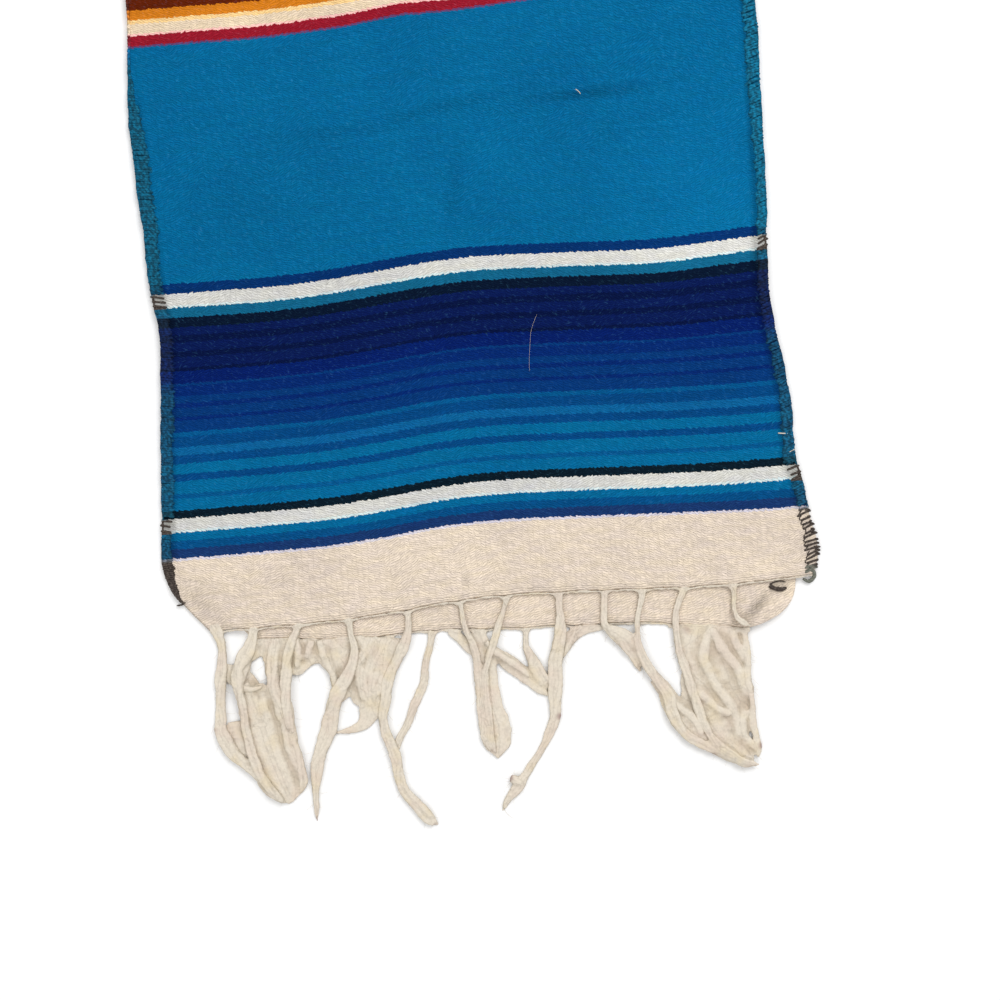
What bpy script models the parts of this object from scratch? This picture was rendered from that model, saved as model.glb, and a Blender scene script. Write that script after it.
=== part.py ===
"""A small Mexican serape, folded in half end to end and lying flat.

One length of weft-faced cloth, 0.34 m wide and about 1.42 m long, is doubled over at its
middle, so both knotted ends lie together. The upper layer stops short of the lower one.
Each end has a narrow header cord, from which the warp hangs in knotted, matted locks.

Metres, +Z up. The cloth rests on z = 0 round the origin. +X runs along the stripes, to the
right of somebody who stands at the fringe, and +Y runs from the fringe to the fold.
"""

import math
from collections import namedtuple

import bmesh
import bpy

COLLECTION = "folded_serape"

# The cloth
WALL = 0.0020               # thickness of the weft-faced cloth
LAYER_GAP = 0.0005          # air between the upper and the lower layer
PIECE_GAP = 0.0003          # between the cloth and each header cord
UPPER_END_Y = -0.290        # mean place of the upper layer's end
FOLD_Y = 0.410              # outermost line of the fold
FOLD_DEPTH = 0.0042         # how far the round of the fold reaches in Y
FOLD_RISE = 0.0023          # the fold is springy, and stands this much above the layers
FOLD_RUN = 0.045            # length over which the upper layer climbs to the fold
FOLD_STEPS = 8

# The mesh's columns and rows
FINEST_STEP = 0.003         # first step in from an edge or an end
STEP_GROWTH = 1.42
WIDEST_COLUMN = 0.019
WIDEST_ROW = 0.021
WIDEST_HIDDEN_ROW = 0.048   # the lower layer is plain under the upper one

# Side edges of each layer, by distance in from that layer's end. Both ends are drawn in
# by their knots, so the corners are rounded off.
Edge = namedtuple("Edge", "from_end left right")
UPPER_EDGES = (
    Edge(0.000, -0.1520, 0.1745),
    Edge(0.011, -0.1620, 0.1775),
    Edge(0.022, -0.1712, 0.1775),
    Edge(0.032, -0.1750, 0.1760),
    Edge(0.055, -0.1750, 0.1728),
    Edge(0.086, -0.1717, 0.1712),
    Edge(0.130, -0.1667, 0.1672),
    Edge(0.162, -0.1658, 0.1657),
    Edge(0.184, -0.1688, 0.1678),
    Edge(0.238, -0.1722, 0.1708),
    Edge(0.300, -0.1710, 0.1730),
    Edge(0.400, -0.1690, 0.1715),
    Edge(0.520, -0.1712, 0.1700),
    Edge(0.700, -0.1700, 0.1710),
)
LOWER_EDGES = (
    Edge(0.000, -0.1290, 0.1370),
    Edge(0.003, -0.1322, 0.1455),
    Edge(0.0075, -0.1362, 0.1545),
    Edge(0.0145, -0.1432, 0.1616),
    Edge(0.0225, -0.1505, 0.1642),
    Edge(0.032, -0.1565, 0.1644),
    Edge(0.060, -0.1630, 0.1635),
    Edge(0.150, -0.1605, 0.1610),
    Edge(0.300, -0.1655, 0.1680),
    Edge(0.500, -0.1680, 0.1695),
    Edge(0.720, -0.1700, 0.1710),
)

# The lower end lies past the upper one's mean line, and more so towards the right
LowerEnd = namedtuple("LowerEnd", "across drop")
LOWER_END_LINE = (
    LowerEnd(-0.140, 0.0080),
    LowerEnd(-0.110, 0.0100),
    LowerEnd(-0.090, 0.0124),
    LowerEnd(-0.062, 0.0138),
    LowerEnd(-0.036, 0.0130),
    LowerEnd(-0.012, 0.0143),
    LowerEnd(0.012, 0.0160),
    LowerEnd(0.045, 0.0173),
    LowerEnd(0.086, 0.0200),
    LowerEnd(0.104, 0.0226),
    LowerEnd(0.125, 0.0252),
    LowerEnd(0.140, 0.0280),
    LowerEnd(0.165, 0.0288),
)

# The weft isn't straight: each line of it sags towards the fringe by this much
WeftLine = namedtuple("WeftLine", "across sag")
WEFT_LINE = (
    WeftLine(-0.175, 0.0018),
    WeftLine(-0.090, 0.0023),
    WeftLine(-0.050, -0.0002),
    WeftLine(0.010, -0.0037),
    WeftLine(0.055, -0.0019),
    WeftLine(0.105, 0.0014),
    WeftLine(0.140, 0.0032),
    WeftLine(0.178, 0.0024),
)
SagShare = namedtuple("SagShare", "from_end share")
SAG_SHARES = (
    SagShare(0.000, 1.0),
    SagShare(0.180, 1.0),
    SagShare(0.320, 0.6),
    SagShare(0.500, 0.3),
    SagShare(0.700, 0.0),
)

# Soft ridges that handling left in the upper layer. turn is the ridge's angle to the weft.
Crease = namedtuple("Crease", "across from_end turn length width height")
CREASES = (
    Crease(0.020, 0.268, -2.5, 0.300, 0.009, 0.0011),
    Crease(0.004, 0.150, 90.0, 0.330, 0.016, 0.0012),
    Crease(-0.118, 0.034, 12.0, 0.090, 0.012, 0.0010),
    Crease(0.092, 0.050, 64.0, 0.080, 0.014, 0.0009),
    Crease(-0.100, 0.190, 16.0, 0.130, 0.013, 0.0010),
    Crease(0.110, 0.212, -20.0, 0.120, 0.014, 0.0011),
    Crease(0.040, 0.395, 8.0, 0.220, 0.012, 0.0013),
    Crease(-0.070, 0.470, -14.0, 0.190, 0.015, 0.0011),
    Crease(0.006, 0.520, 88.0, 0.230, 0.016, 0.0010),
    Crease(0.085, 0.590, 10.0, 0.150, 0.013, 0.0012),
)

# The upper layer sinks to the floor where it lies past the lower one's edge
FLOOR_CLEAR = 0.0003
OVERHANG_START = 0.0015
OVERHANG_RUN = 0.011

# The lower layer's right corner is turned up along a slanting line
CORNER_X = 0.132            # a point on that line, below the upper end
CORNER_DROP = 0.0235
CORNER_TURN = 44.0          # degrees from +X
CORNER_LIFT = 0.0032
CORNER_RUN = 0.0085
CORNER_TOP = 0.0095         # no lift nearer to the upper end than this
CORNER_FADE = 0.0080

# Header cords and locks
HEADER_DEPTH = 0.0028
HEADER_THICK = 0.0014
HEADER_COLUMNS = 34
LOCK_CLEAR = 0.00045        # locks lie this far above what carries them
LOCK_FLATNESS = 0.42        # a lock's thickness for each metre of its width
LOCK_TOP = 0.62             # its top is narrower than its underside
LOCK_STEPS = 9
LEDGE_RUN = 0.012           # length over which an upper lock comes down off the lower end
LEDGE_START = 0.0012
LOCK_REACH = 0.0070         # a lock beside the turned-up corner clears it

# A lock runs from its root on the header cord through two bends to its tip. The columns
# are X across and the drop below the upper end's mean line, then the widths at the four
# places, all in millimetres.
Lock = namedtuple("Lock", "root_x bend_x bend_drop belly_x belly_drop tip_x tip_drop "
                          "root_width bend_width belly_width tip_width")
UPPER_LOCKS = (
    Lock(-147.0, -147.0, 21.5, -151.0, 47.5, -142.5, 71.5, 4.8, 5.4, 5.4, 3.0),
    Lock(-125.0, -122.5, 21.5, -126.5, 56.5, -122.5, 97.5, 4.3, 5.0, 7.5, 5.4),
    Lock(-104.0, -109.5, 26.0, -110.4, 54.0, -108.3, 96.0, 4.3, 6.4, 7.4, 6.3),
    Lock(-77.0, -76.0, 21.5, -92.0, 56.5, -103.0, 110.0, 4.3, 6.0, 9.5, 3.0),
    Lock(-45.0, -52.5, 29.5, -60.5, 73.0, -40.5, 118.0, 5.0, 9.0, 7.0, 4.5),
    Lock(-17.0, -13.5, 19.5, -10.5, 48.5, -8.2, 82.0, 4.3, 5.4, 6.2, 5.0),
    Lock(8.0, 3.0, 16.0, 9.0, 33.5, 22.6, 52.0, 5.0, 5.4, 7.0, 5.0),
    Lock(36.0, 34.5, 24.5, 30.0, 56.5, -5.5, 113.0, 5.4, 6.5, 7.5, 3.0),
    Lock(61.5, 60.0, 11.0, 66.5, 24.5, 72.0, 34.5, 4.3, 4.3, 5.0, 4.0),
    Lock(81.0, 75.5, 27.0, 84.0, 54.0, 97.0, 84.0, 5.0, 5.0, 7.0, 7.5),
    Lock(105.0, 97.5, 21.5, 98.5, 50.0, 111.0, 91.0, 5.0, 5.4, 8.5, 7.0),
    Lock(130.0, 130.5, 27.0, 132.8, 54.0, 135.3, 87.5, 4.3, 4.8, 5.2, 4.3),
)
LOWER_LOCKS = (
    Lock(-128.6, -135.0, 27.0, -135.5, 54.0, -130.0, 89.5, 3.8, 8.5, 8.5, 5.0),
    Lock(-115.5, -116.2, 29.5, -118.2, 56.5, -115.8, 98.5, 4.8, 4.6, 6.2, 5.0),
    Lock(-100.0, -101.4, 19.0, -102.4, 24.0, -103.0, 30.0, 5.0, 5.4, 5.0, 3.8),
    Lock(-91.5, -92.0, 19.0, -92.5, 23.0, -93.0, 28.0, 8.6, 8.2, 7.4, 6.0),
    Lock(-63.5, -68.0, 29.5, -71.0, 48.5, -74.0, 62.5, 9.0, 8.6, 7.2, 4.0),
    Lock(-32.5, -38.0, 35.0, -46.0, 56.5, -53.4, 70.0, 6.0, 6.0, 6.0, 4.0),
    Lock(-5.0, -2.6, 38.0, 0.3, 67.5, -0.8, 85.0, 5.4, 7.0, 9.6, 6.2),
    Lock(17.5, 18.5, 28.0, 22.5, 37.0, 26.0, 42.0, 5.0, 5.2, 4.6, 3.2),
    Lock(47.6, 47.4, 25.5, 45.4, 28.5, 42.8, 31.5, 6.6, 8.4, 6.6, 4.8),
    Lock(110.5, 108.5, 43.0, 112.6, 67.0, 121.6, 96.5, 8.0, 9.0, 9.2, 6.4),
    Lock(122.5, 121.7, 43.0, 125.2, 67.0, 130.6, 101.0, 8.0, 8.8, 8.2, 6.0),
)
MM = 0.001

# name: colour, roughness
WOOL_BLUE = (0.004, 0.130, 0.300, 1.0)
WARP_CREAM = (0.730, 0.630, 0.500, 1.0)
WOOL_ROUGHNESS = 0.9


def smooth(share):
    """0 below 0, 1 above 1, and a soft S between."""
    share = min(max(share, 0.0), 1.0)
    return share * share * (3.0 - 2.0 * share)


def read_table(rows, column, place):
    """The column's value at that place, on a smooth curve through the table's rows.
    A table's first column is the place."""
    places = [row[0] for row in rows]
    values = [getattr(row, column) for row in rows]
    if place <= places[0]:
        return values[0]
    if place >= places[-1]:
        return values[-1]
    at = max(i for i, start in enumerate(places[:-1]) if start <= place)

    def slope(i):
        before, after = max(i - 1, 0), min(i + 1, len(rows) - 1)
        return (values[after] - values[before]) / (places[after] - places[before])

    span = places[at + 1] - places[at]
    t = (place - places[at]) / span
    return ((2 * t**3 - 3 * t**2 + 1) * values[at] + (t**3 - 2 * t**2 + t) * span * slope(at)
            + (3 * t**2 - 2 * t**3) * values[at + 1] + (t**3 - t**2) * span * slope(at + 1))


def growing_steps(length, first, widest, last=None):
    """Places from 0 to length whose steps grow from first to widest, and shrink to last."""
    places, step = [0.0], first
    while places[-1] + step < length / 2:
        places.append(places[-1] + step)
        step = min(step * STEP_GROWTH, widest)
    back, step = [length], last or first
    while back[-1] - step > places[-1] + 0.3 * step:
        back.append(back[-1] - step)
        step = min(step * STEP_GROWTH, widest)
    return places + back[::-1]


# ---- where the cloth lies ----

def upper_line(x, from_end):
    """Y of one weft line of the upper layer."""
    return (UPPER_END_Y + from_end
            - read_table(WEFT_LINE, "sag", x) * read_table(SAG_SHARES, "share", from_end))


def lower_end(x):
    return UPPER_END_Y - read_table(LOWER_END_LINE, "drop", x)


def corner_lift(x, y):
    """Height of the lower layer's turned-up corner."""
    turn = math.radians(CORNER_TURN)
    past = (x - CORNER_X) * math.sin(turn) - (y - UPPER_END_Y + CORNER_DROP) * math.cos(turn)
    below = smooth((UPPER_END_Y - CORNER_TOP - y) / CORNER_FADE)
    return CORNER_LIFT * smooth(past / CORNER_RUN) * below


def crease_height(crease, x, from_end):
    turn = math.radians(crease.turn)
    right, up = x - crease.across, from_end - crease.from_end
    along = abs(right * math.cos(turn) + up * math.sin(turn)) / (crease.length / 2)
    off = (up * math.cos(turn) - right * math.sin(turn)) / crease.width
    return crease.height * math.exp(-off * off) * (1.0 - smooth(along))


def overhang(x, y):
    """How far a point lies outside the lower layer's side edges."""
    inside = y - lower_end(x)
    left = read_table(LOWER_EDGES, "left", inside)
    right = read_table(LOWER_EDGES, "right", inside)
    return max(left - x, x - right, 0.0)


def upper_top(x, y, from_end):
    """Height of the upper layer's outer face."""
    height = 2 * WALL + LAYER_GAP
    height += sum(crease_height(crease, x, from_end) for crease in CREASES)
    sunk = smooth((overhang(x, y) - OVERHANG_START) / OVERHANG_RUN)
    height -= (WALL + LAYER_GAP - FLOOR_CLEAR) * sunk
    run_start = FOLD_Y - FOLD_DEPTH - UPPER_END_Y - FOLD_RUN
    return height + FOLD_RISE * smooth((from_end - run_start) / FOLD_RUN)


def outer_rows():
    """The rows of the cloth's outer face, from the upper end over the fold to the lower
    end, each a (layer, place) pair."""
    run = FOLD_Y - FOLD_DEPTH - UPPER_END_Y
    rows = [("upper", place) for place in growing_steps(run, FINEST_STEP, WIDEST_ROW, 0.008)]
    rows += [("fold", math.pi * i / FOLD_STEPS) for i in range(1, FOLD_STEPS)]
    hidden = growing_steps(1.0, FINEST_STEP * 1.2 / run, WIDEST_HIDDEN_ROW / run, 0.012 / run)
    return rows + [("lower", share) for share in reversed(hidden)]


def outer_point(layer, place, across):
    """The point of the outer face in one row, at a share across from the left edge."""
    bend_y = FOLD_Y - FOLD_DEPTH
    if layer == "lower":
        from_end = place * (bend_y - lower_end(0.0))
        edges = LOWER_EDGES
    else:
        from_end = place if layer == "upper" else bend_y - UPPER_END_Y
        edges = UPPER_EDGES
    left = read_table(edges, "left", from_end)
    right = read_table(edges, "right", from_end)
    x = left + (right - left) * across
    if layer == "upper":
        y = upper_line(x, from_end)
        return x, y, upper_top(x, y, from_end)
    if layer == "fold":
        middle = upper_top(x, bend_y, from_end) / 2
        return x, bend_y + FOLD_DEPTH * math.sin(place), middle * (1.0 + math.cos(place))
    y = lower_end(x) + (bend_y - lower_end(x)) * place
    return x, y, corner_lift(x, y)


# ---- making the pieces ----

def material(name, colour):
    made = bpy.data.materials.new(name)
    made.use_nodes = True
    shader = made.node_tree.nodes["Principled BSDF"]
    shader.inputs["Base Color"].default_value = colour
    shader.inputs["Roughness"].default_value = WOOL_ROUGHNESS
    return made


def link(name, mesh, collection, finish=None):
    piece = bpy.data.objects.new(name, mesh)
    collection.objects.link(piece)
    if finish:
        mesh.materials.append(finish)
    for face in mesh.polygons:
        face.use_smooth = True
    return piece


def grid_mesh(name, columns, rows, place):
    """A grid of faces, each point of which is moved to place(column, row)."""
    grid = bmesh.new()
    bmesh.ops.create_grid(grid, x_segments=columns, y_segments=rows, size=1.0)
    for point in grid.verts:
        column = round((point.co.x + 1.0) / 2.0 * columns)
        row = round((point.co.y + 1.0) / 2.0 * rows)
        point.co = place(column, row)
    mesh = bpy.data.meshes.new(name)
    grid.to_mesh(mesh)
    grid.free()
    return mesh


def thicken(piece, thickness, offset):
    wall = piece.modifiers.new("wall", "SOLIDIFY")
    wall.thickness = thickness
    wall.offset = offset
    wall.use_even_offset = True


def make_cloth(collection, finish):
    """One cloth, doubled over: its outer face as an open sheet, with the wall inside it."""
    width = UPPER_EDGES[-1].right - UPPER_EDGES[-1].left
    shares = [place / width for place in growing_steps(width, FINEST_STEP, WIDEST_COLUMN)]
    rows = outer_rows()
    mesh = grid_mesh("serape_cloth", len(shares) - 1, len(rows) - 1,
                     lambda column, row: outer_point(*rows[row], shares[column]))
    cloth = link("serape_cloth", mesh, collection, finish)
    thicken(cloth, WALL, -1.0)
    return cloth


def upper_header(x):
    """Y of the upper end there, and the height of the cloth's middle."""
    y = upper_line(x, 0.0)
    return y, upper_top(x, y, 0.0) - WALL / 2


def lower_header(x):
    y = lower_end(x)
    return y, corner_lift(x, y) + WALL / 2


def make_header(name, edge, header, collection, finish):
    """The header cord along one end: a narrow strip just off the cloth's edge."""
    def place(column, row):
        x = edge.left + (edge.right - edge.left) * column / HEADER_COLUMNS
        y, z = header(x)
        return x, y - PIECE_GAP - HEADER_DEPTH * (1 - row), z

    mesh = grid_mesh(name, HEADER_COLUMNS, 1, place)
    cord = link(name, mesh, collection, finish)
    thicken(cord, HEADER_THICK, 0.0)
    return cord


def lock_bed(x, y):
    """Height of what carries an upper lock: the lower layer, then its ledge, then floor."""
    past_end = lower_end(x) - PIECE_GAP - HEADER_DEPTH - LEDGE_START - y
    past_side = LOWER_EDGES[0].left - LEDGE_START - x
    ledge = 1.0 - smooth(max(past_end, past_side) / LEDGE_RUN)
    return (WALL + corner_lift(x + LOCK_REACH, y)) * ledge


def lock_path(lock, header, bed):
    """Points (x, y, z, width) along a lock, on a smooth curve through its four places."""
    root_y = header(lock.root_x * MM)[0] - PIECE_GAP - HEADER_DEPTH / 2
    places = [
        (lock.root_x * MM, root_y, lock.root_width * MM),
        (lock.bend_x * MM, UPPER_END_Y - lock.bend_drop * MM, lock.bend_width * MM),
        (lock.belly_x * MM, UPPER_END_Y - lock.belly_drop * MM, lock.belly_width * MM),
        (lock.tip_x * MM, UPPER_END_Y - lock.tip_drop * MM, lock.tip_width * MM),
    ]
    Place = namedtuple("Place", "drop x width")
    rows = [Place(-y, x, width) for x, y, width in places]
    points = []
    for step in range(LOCK_STEPS + 1):
        drop = rows[0].drop + (rows[-1].drop - rows[0].drop) * step / LOCK_STEPS
        x = read_table(rows, "x", drop)
        width = read_table(rows, "width", drop)
        z = bed(x, -drop) + LOCK_CLEAR + LOCK_FLATNESS * width / 2
        if step == 0:
            z = max(header(x)[1], z)
        points.append((x, -drop, z, width))
    return points


def lock_section(collection):
    """The locks' section for a width of 1: four sides, narrower at the top."""
    shape = bpy.data.curves.new("lock_section", "CURVE")
    side = shape.splines.new("POLY")
    corners = [(-0.5, -0.5), (0.5, -0.5), (LOCK_TOP / 2, 0.5), (-LOCK_TOP / 2, 0.5)]
    side.points.add(len(corners) - 1)
    for point, (across, up) in zip(side.points, corners):
        point.co = (across, up * LOCK_FLATNESS, 0.0, 1.0)
    side.use_cyclic_u = True
    section = bpy.data.objects.new("lock_section", shape)
    collection.objects.link(section)
    section.hide_render = True
    section.display_type = "WIRE"
    return section


def lock_mesh(path, section, collection):
    """One lock as a mesh: the section carried along the path, with closed ends."""
    line = bpy.data.curves.new("lock", "CURVE")
    line.dimensions = "3D"
    line.twist_mode = "Z_UP"
    line.bevel_mode = "OBJECT"
    line.bevel_object = section
    line.use_fill_caps = True
    spline = line.splines.new("POLY")
    spline.points.add(len(path) - 1)
    for point, (x, y, z, width) in zip(spline.points, path):
        point.co = (x, y, z, 1.0)
        point.radius = width
    lock = bpy.data.objects.new("lock", line)
    collection.objects.link(lock)
    evaluated = lock.evaluated_get(bpy.context.evaluated_depsgraph_get())
    mesh = bpy.data.meshes.new_from_object(evaluated)
    bpy.data.objects.remove(lock)
    return mesh


def make_locks(name, locks, header, bed, section, helpers):
    """All the locks of one end as a helper mesh, which the header cord is joined to."""
    joined = bmesh.new()
    for lock in locks:
        joined.from_mesh(lock_mesh(lock_path(lock, header, bed), section, helpers))
    bmesh.ops.remove_doubles(joined, verts=joined.verts, dist=1e-6)
    bmesh.ops.recalc_face_normals(joined, faces=joined.faces)
    mesh = bpy.data.meshes.new(name)
    joined.to_mesh(mesh)
    joined.free()
    helper = link(name, mesh, helpers)
    helper.hide_render = True
    helper.display_type = "WIRE"
    return helper


def make_fringe(name, edge, locks, header, bed, section, collection, helpers, finish):
    """A header cord with the locks that hang from it, as one piece."""
    cord = make_header(name, edge, header, collection, finish)
    join = cord.modifiers.new("locks", "BOOLEAN")
    join.operation = "UNION"
    join.solver = "EXACT"
    join.object = make_locks(name + "_locks", locks, header, bed, section, helpers)
    return cord


def main():
    for thing in list(bpy.data.objects):
        bpy.data.objects.remove(thing)
    collection = bpy.data.collections.new(COLLECTION)
    helpers = bpy.data.collections.new(COLLECTION + "_helpers")
    bpy.context.scene.collection.children.link(collection)
    bpy.context.scene.collection.children.link(helpers)
    section = lock_section(helpers)
    make_cloth(collection, material("woven_wool", WOOL_BLUE))
    make_fringe("fringe_upper", UPPER_EDGES[0], UPPER_LOCKS, upper_header, lock_bed,
                section, collection, helpers, material("warp_upper", WARP_CREAM))
    make_fringe("fringe_lower", LOWER_EDGES[0], LOWER_LOCKS, lower_header,
                lambda x, y: 0.0, section, collection, helpers,
                material("warp_lower", WARP_CREAM))


main()
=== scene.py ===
"""A small Mexican serape, folded in half end to end and lying flat: its looks.

Metres, +Z up. The cloth rests on z = 0, +X runs along the stripes and +Y from the fringe to
the fold. Tables whose names end in MM are in millimetres.
"""

import math
from collections import namedtuple

import bpy
import numpy as np
from mathutils import Matrix, Vector, noise
from mathutils.kdtree import KDTree


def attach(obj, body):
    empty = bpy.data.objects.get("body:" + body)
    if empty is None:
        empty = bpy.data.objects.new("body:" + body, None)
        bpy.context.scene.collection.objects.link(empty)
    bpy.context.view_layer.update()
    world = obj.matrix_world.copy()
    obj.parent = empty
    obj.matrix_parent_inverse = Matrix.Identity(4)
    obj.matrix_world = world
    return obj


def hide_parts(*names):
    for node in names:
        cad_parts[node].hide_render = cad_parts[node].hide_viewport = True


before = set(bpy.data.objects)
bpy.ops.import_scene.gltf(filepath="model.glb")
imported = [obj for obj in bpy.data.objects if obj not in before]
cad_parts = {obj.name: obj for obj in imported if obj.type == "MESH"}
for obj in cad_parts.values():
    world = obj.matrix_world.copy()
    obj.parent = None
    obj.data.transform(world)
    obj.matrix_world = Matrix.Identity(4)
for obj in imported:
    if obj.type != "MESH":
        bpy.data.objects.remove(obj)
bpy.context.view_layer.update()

# ---- The camera ----
# A plain lens, held over the cream end and its fringe and looking almost straight down.
# The cloth's length stands a little off upright in the view.

VIEW_MIDDLE = Vector((0.0099, -0.2370, 0.0))
VIEW_WIDTH = 0.540
VIEW_TURN = math.radians(5.3)
VIEW_ELEVATION = math.radians(88.0)
LENS = 50.0
SENSOR = 36.0

up_on_floor = Vector((math.sin(VIEW_TURN), math.cos(VIEW_TURN), 0.0))
back = Vector((0.0, 0.0, math.sin(VIEW_ELEVATION))) - up_on_floor * math.cos(VIEW_ELEVATION)
right = up_on_floor.cross(Vector((0.0, 0.0, 1.0)))
camera_data = bpy.data.cameras.new("camera")
camera_data.lens = LENS
camera_data.sensor_width = SENSOR
camera_data.clip_start = 0.05
camera = bpy.data.objects.new("camera", camera_data)
camera.matrix_world = (Matrix.Translation(VIEW_MIDDLE + back * VIEW_WIDTH * LENS / SENSOR)
                       @ Matrix((right, back.cross(right), back)).transposed().to_4x4())
add_to_scene = bpy.context.scene.collection.objects.link
add_to_scene(camera)
bpy.context.scene.camera = camera

# ---- The cloth ----
# One length of weft-faced wool on a cotton warp, woven to a stripe plan that runs the same
# from both ends, then doubled over at its middle. The shell follows the solid's own form, with
# the small creases, puckers and drawn-in ends that the solid leaves out.

WALL = 0.0020
LAYER_GAP = 0.0005
PIECE_GAP = 0.0003
UPPER_END_Y = -0.290
FOLD_Y = 0.410
FOLD_DEPTH = 0.0042
FOLD_RISE = 0.0023
FOLD_RUN = 0.045
BEND_Y = FOLD_Y - FOLD_DEPTH
UPPER_RUN = BEND_Y - UPPER_END_Y

# Where each layer's sides lie, by the distance from its own end
Edge = namedtuple("Edge", "from_end left right")
UPPER_EDGES = [Edge(*row) for row in (
    (0, -0.152, 0.1745), (0.011, -0.1615, 0.1775), (0.022, -0.1697, 0.1775),
    (0.032, -0.1732, 0.1757), (0.043, -0.1738, 0.1744), (0.054, -0.1729, 0.1729),
    (0.062, -0.1721, 0.1707), (0.078, -0.1709, 0.1705), (0.096, -0.1696, 0.1711),
    (0.107, -0.1686, 0.1698), (0.118, -0.1676, 0.1689), (0.134, -0.1662, 0.1663),
    (0.153, -0.1648, 0.1648), (0.167, -0.165, 0.1655), (0.184, -0.1676, 0.1664),
    (0.195, -0.1685, 0.1678), (0.215, -0.1686, 0.169), (0.232, -0.1699, 0.1697),
    (0.262, -0.1711, 0.1711), (0.276, -0.1717, 0.1717), (0.29, -0.1713, 0.1729),
    (0.303, -0.1698, 0.1726), (0.335, -0.1671, 0.1718), (0.4, -0.1684, 0.1715),
    (0.52, -0.1712, 0.17), (0.7, -0.17, 0.171),
)]
LOWER_EDGES = [Edge(*row) for row in (
    (0, -0.129, 0.137), (0.003, -0.1322, 0.1455), (0.0075, -0.1362, 0.1545),
    (0.0145, -0.1432, 0.1616), (0.0225, -0.1505, 0.1642), (0.032, -0.1565, 0.1644),
    (0.06, -0.163, 0.1635), (0.15, -0.1605, 0.161), (0.3, -0.1655, 0.168), (0.5, -0.168, 0.1695),
    (0.72, -0.17, 0.171),
)]
# How far the lower layer's end lies below the upper end's mean line
LowerEnd = namedtuple("LowerEnd", "across drop")
LOWER_END_LINE = [LowerEnd(*row) for row in (
    (-0.14, 0.008), (-0.11, 0.01), (-0.09, 0.0124), (-0.062, 0.0138), (-0.036, 0.013),
    (-0.012, 0.0143), (0.012, 0.016), (0.045, 0.0173), (0.086, 0.02), (0.104, 0.0226),
    (0.125, 0.0252), (0.14, 0.028), (0.165, 0.0288),
)]
# How far the upper layer's weft lines drop below their mean: the end itself, and what is added
# to that by the cream's top, about the upper white stripe, and towards the fold. Each part has
# its share at a distance from the end.
WeftLine = namedtuple("WeftLine", "across end near middle far")
WEFT_LINE = [WeftLine(*row) for row in (
    (-0.175, 0.0024, 0, 0, 0.0007), (-0.14, 0.0028, 0.0002, 0.0006, 0.001),
    (-0.107, 0.0032, 0, 0.001, 0.0013), (-0.08, 0.003, 0, 0.0006, 0.001),
    (-0.05, 0.0012, -0.0002, 0, 0), (-0.02, -0.0014, -0.0004, 0.0002, -0.0024),
    (0.01, -0.0022, 0, 0.0001, -0.0022), (0.055, -0.0003, 0.0002, 0.0002, -0.0052),
    (0.105, 0.0025, 0.0002, 0, -0.0074), (0.14, 0.0031, 0.0013, -0.0017, -0.0082),
    (0.178, 0.002, 0.0034, -0.0024, -0.0082),
)]
WeftShare = namedtuple("WeftShare", "from_end end near middle far")
WEFT_SHARES = [WeftShare(*row) for row in (
    (0, 1, 0, 0, 0), (0.03, 1, 1, 0, 0), (0.044, 1, 1, 0, 0), (0.058, 1, 0.6, 0, 0),
    (0.105, 1, 0.6, 0, 0), (0.145, 1, 0.3, 0.7, 0), (0.18, 1, 0, 1, 0), (0.26, 0.8, 0, 0.4, 0.1),
    (0.32, 0.3, 0, 0, 1), (0.5, 0.3, 0, 0, 0.6), (0.7, 0, 0, 0, 0),
)]
# turn is a crease's angle to the weft. The first ten are the solid's own. The rest are
# finer, and a height below nought is a trough.
Crease = namedtuple("Crease", "across from_end turn length width height")
CREASES = [Crease(*row) for row in (
    (0.02, 0.268, -2.5, 0.3, 0.009, 0.0011), (0.004, 0.15, 90, 0.33, 0.016, 0.0012),
    (-0.118, 0.034, 12, 0.09, 0.012, 0.001), (0.092, 0.05, 64, 0.08, 0.014, 0.0009),
    (-0.1, 0.19, 16, 0.13, 0.013, 0.001), (0.11, 0.212, -20, 0.12, 0.014, 0.0011),
    (0.04, 0.395, 8, 0.22, 0.012, 0.0013), (-0.07, 0.47, -14, 0.19, 0.015, 0.0011),
    (0.006, 0.52, 88, 0.23, 0.016, 0.001), (0.085, 0.59, 10, 0.15, 0.013, 0.0012),
    (0.03, 0.257, -2, 0.26, 0.006, -0.0005), (-0.06, 0.28, 4, 0.12, 0.007, -0.0004),
    (-0.04, 0.088, -8, 0.11, 0.009, 0.0004), (0.06, 0.02, 78, 0.034, 0.006, 0.0005),
    (-0.02, 0.016, 96, 0.03, 0.006, 0.0004), (-0.14, 0.07, 100, 0.08, 0.008, 0.0004),
    (0.15, 0.12, 84, 0.12, 0.008, -0.0004), (-0.13, 0.25, 78, 0.14, 0.009, 0.0005),
    (0.075, 0.3, 15, 0.1, 0.008, 0.0005), (-0.02, 0.345, -12, 0.14, 0.009, -0.0005),
    (0.12, 0.44, 70, 0.11, 0.01, 0.0006), (-0.12, 0.56, 22, 0.12, 0.009, 0.0006),
    (0.03, 0.64, -6, 0.18, 0.008, -0.0005), (-0.06, 0.655, 12, 0.11, 0.009, 0.0006),
)]
FLOOR_CLEAR = 0.0003        # past the lower layer's sides the upper one sinks to the floor
OVERHANG_START = 0.0015
OVERHANG_RUN = 0.011
CORNER_X = 0.132            # the lower layer's right corner is turned up
CORNER_DROP = 0.0235
CORNER_TURN = math.radians(42.0)
CORNER_LIFT = 0.0032
CORNER_RUN = 0.0085
CORNER_TOP = 0.0095
CORNER_FADE = 0.0080

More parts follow.
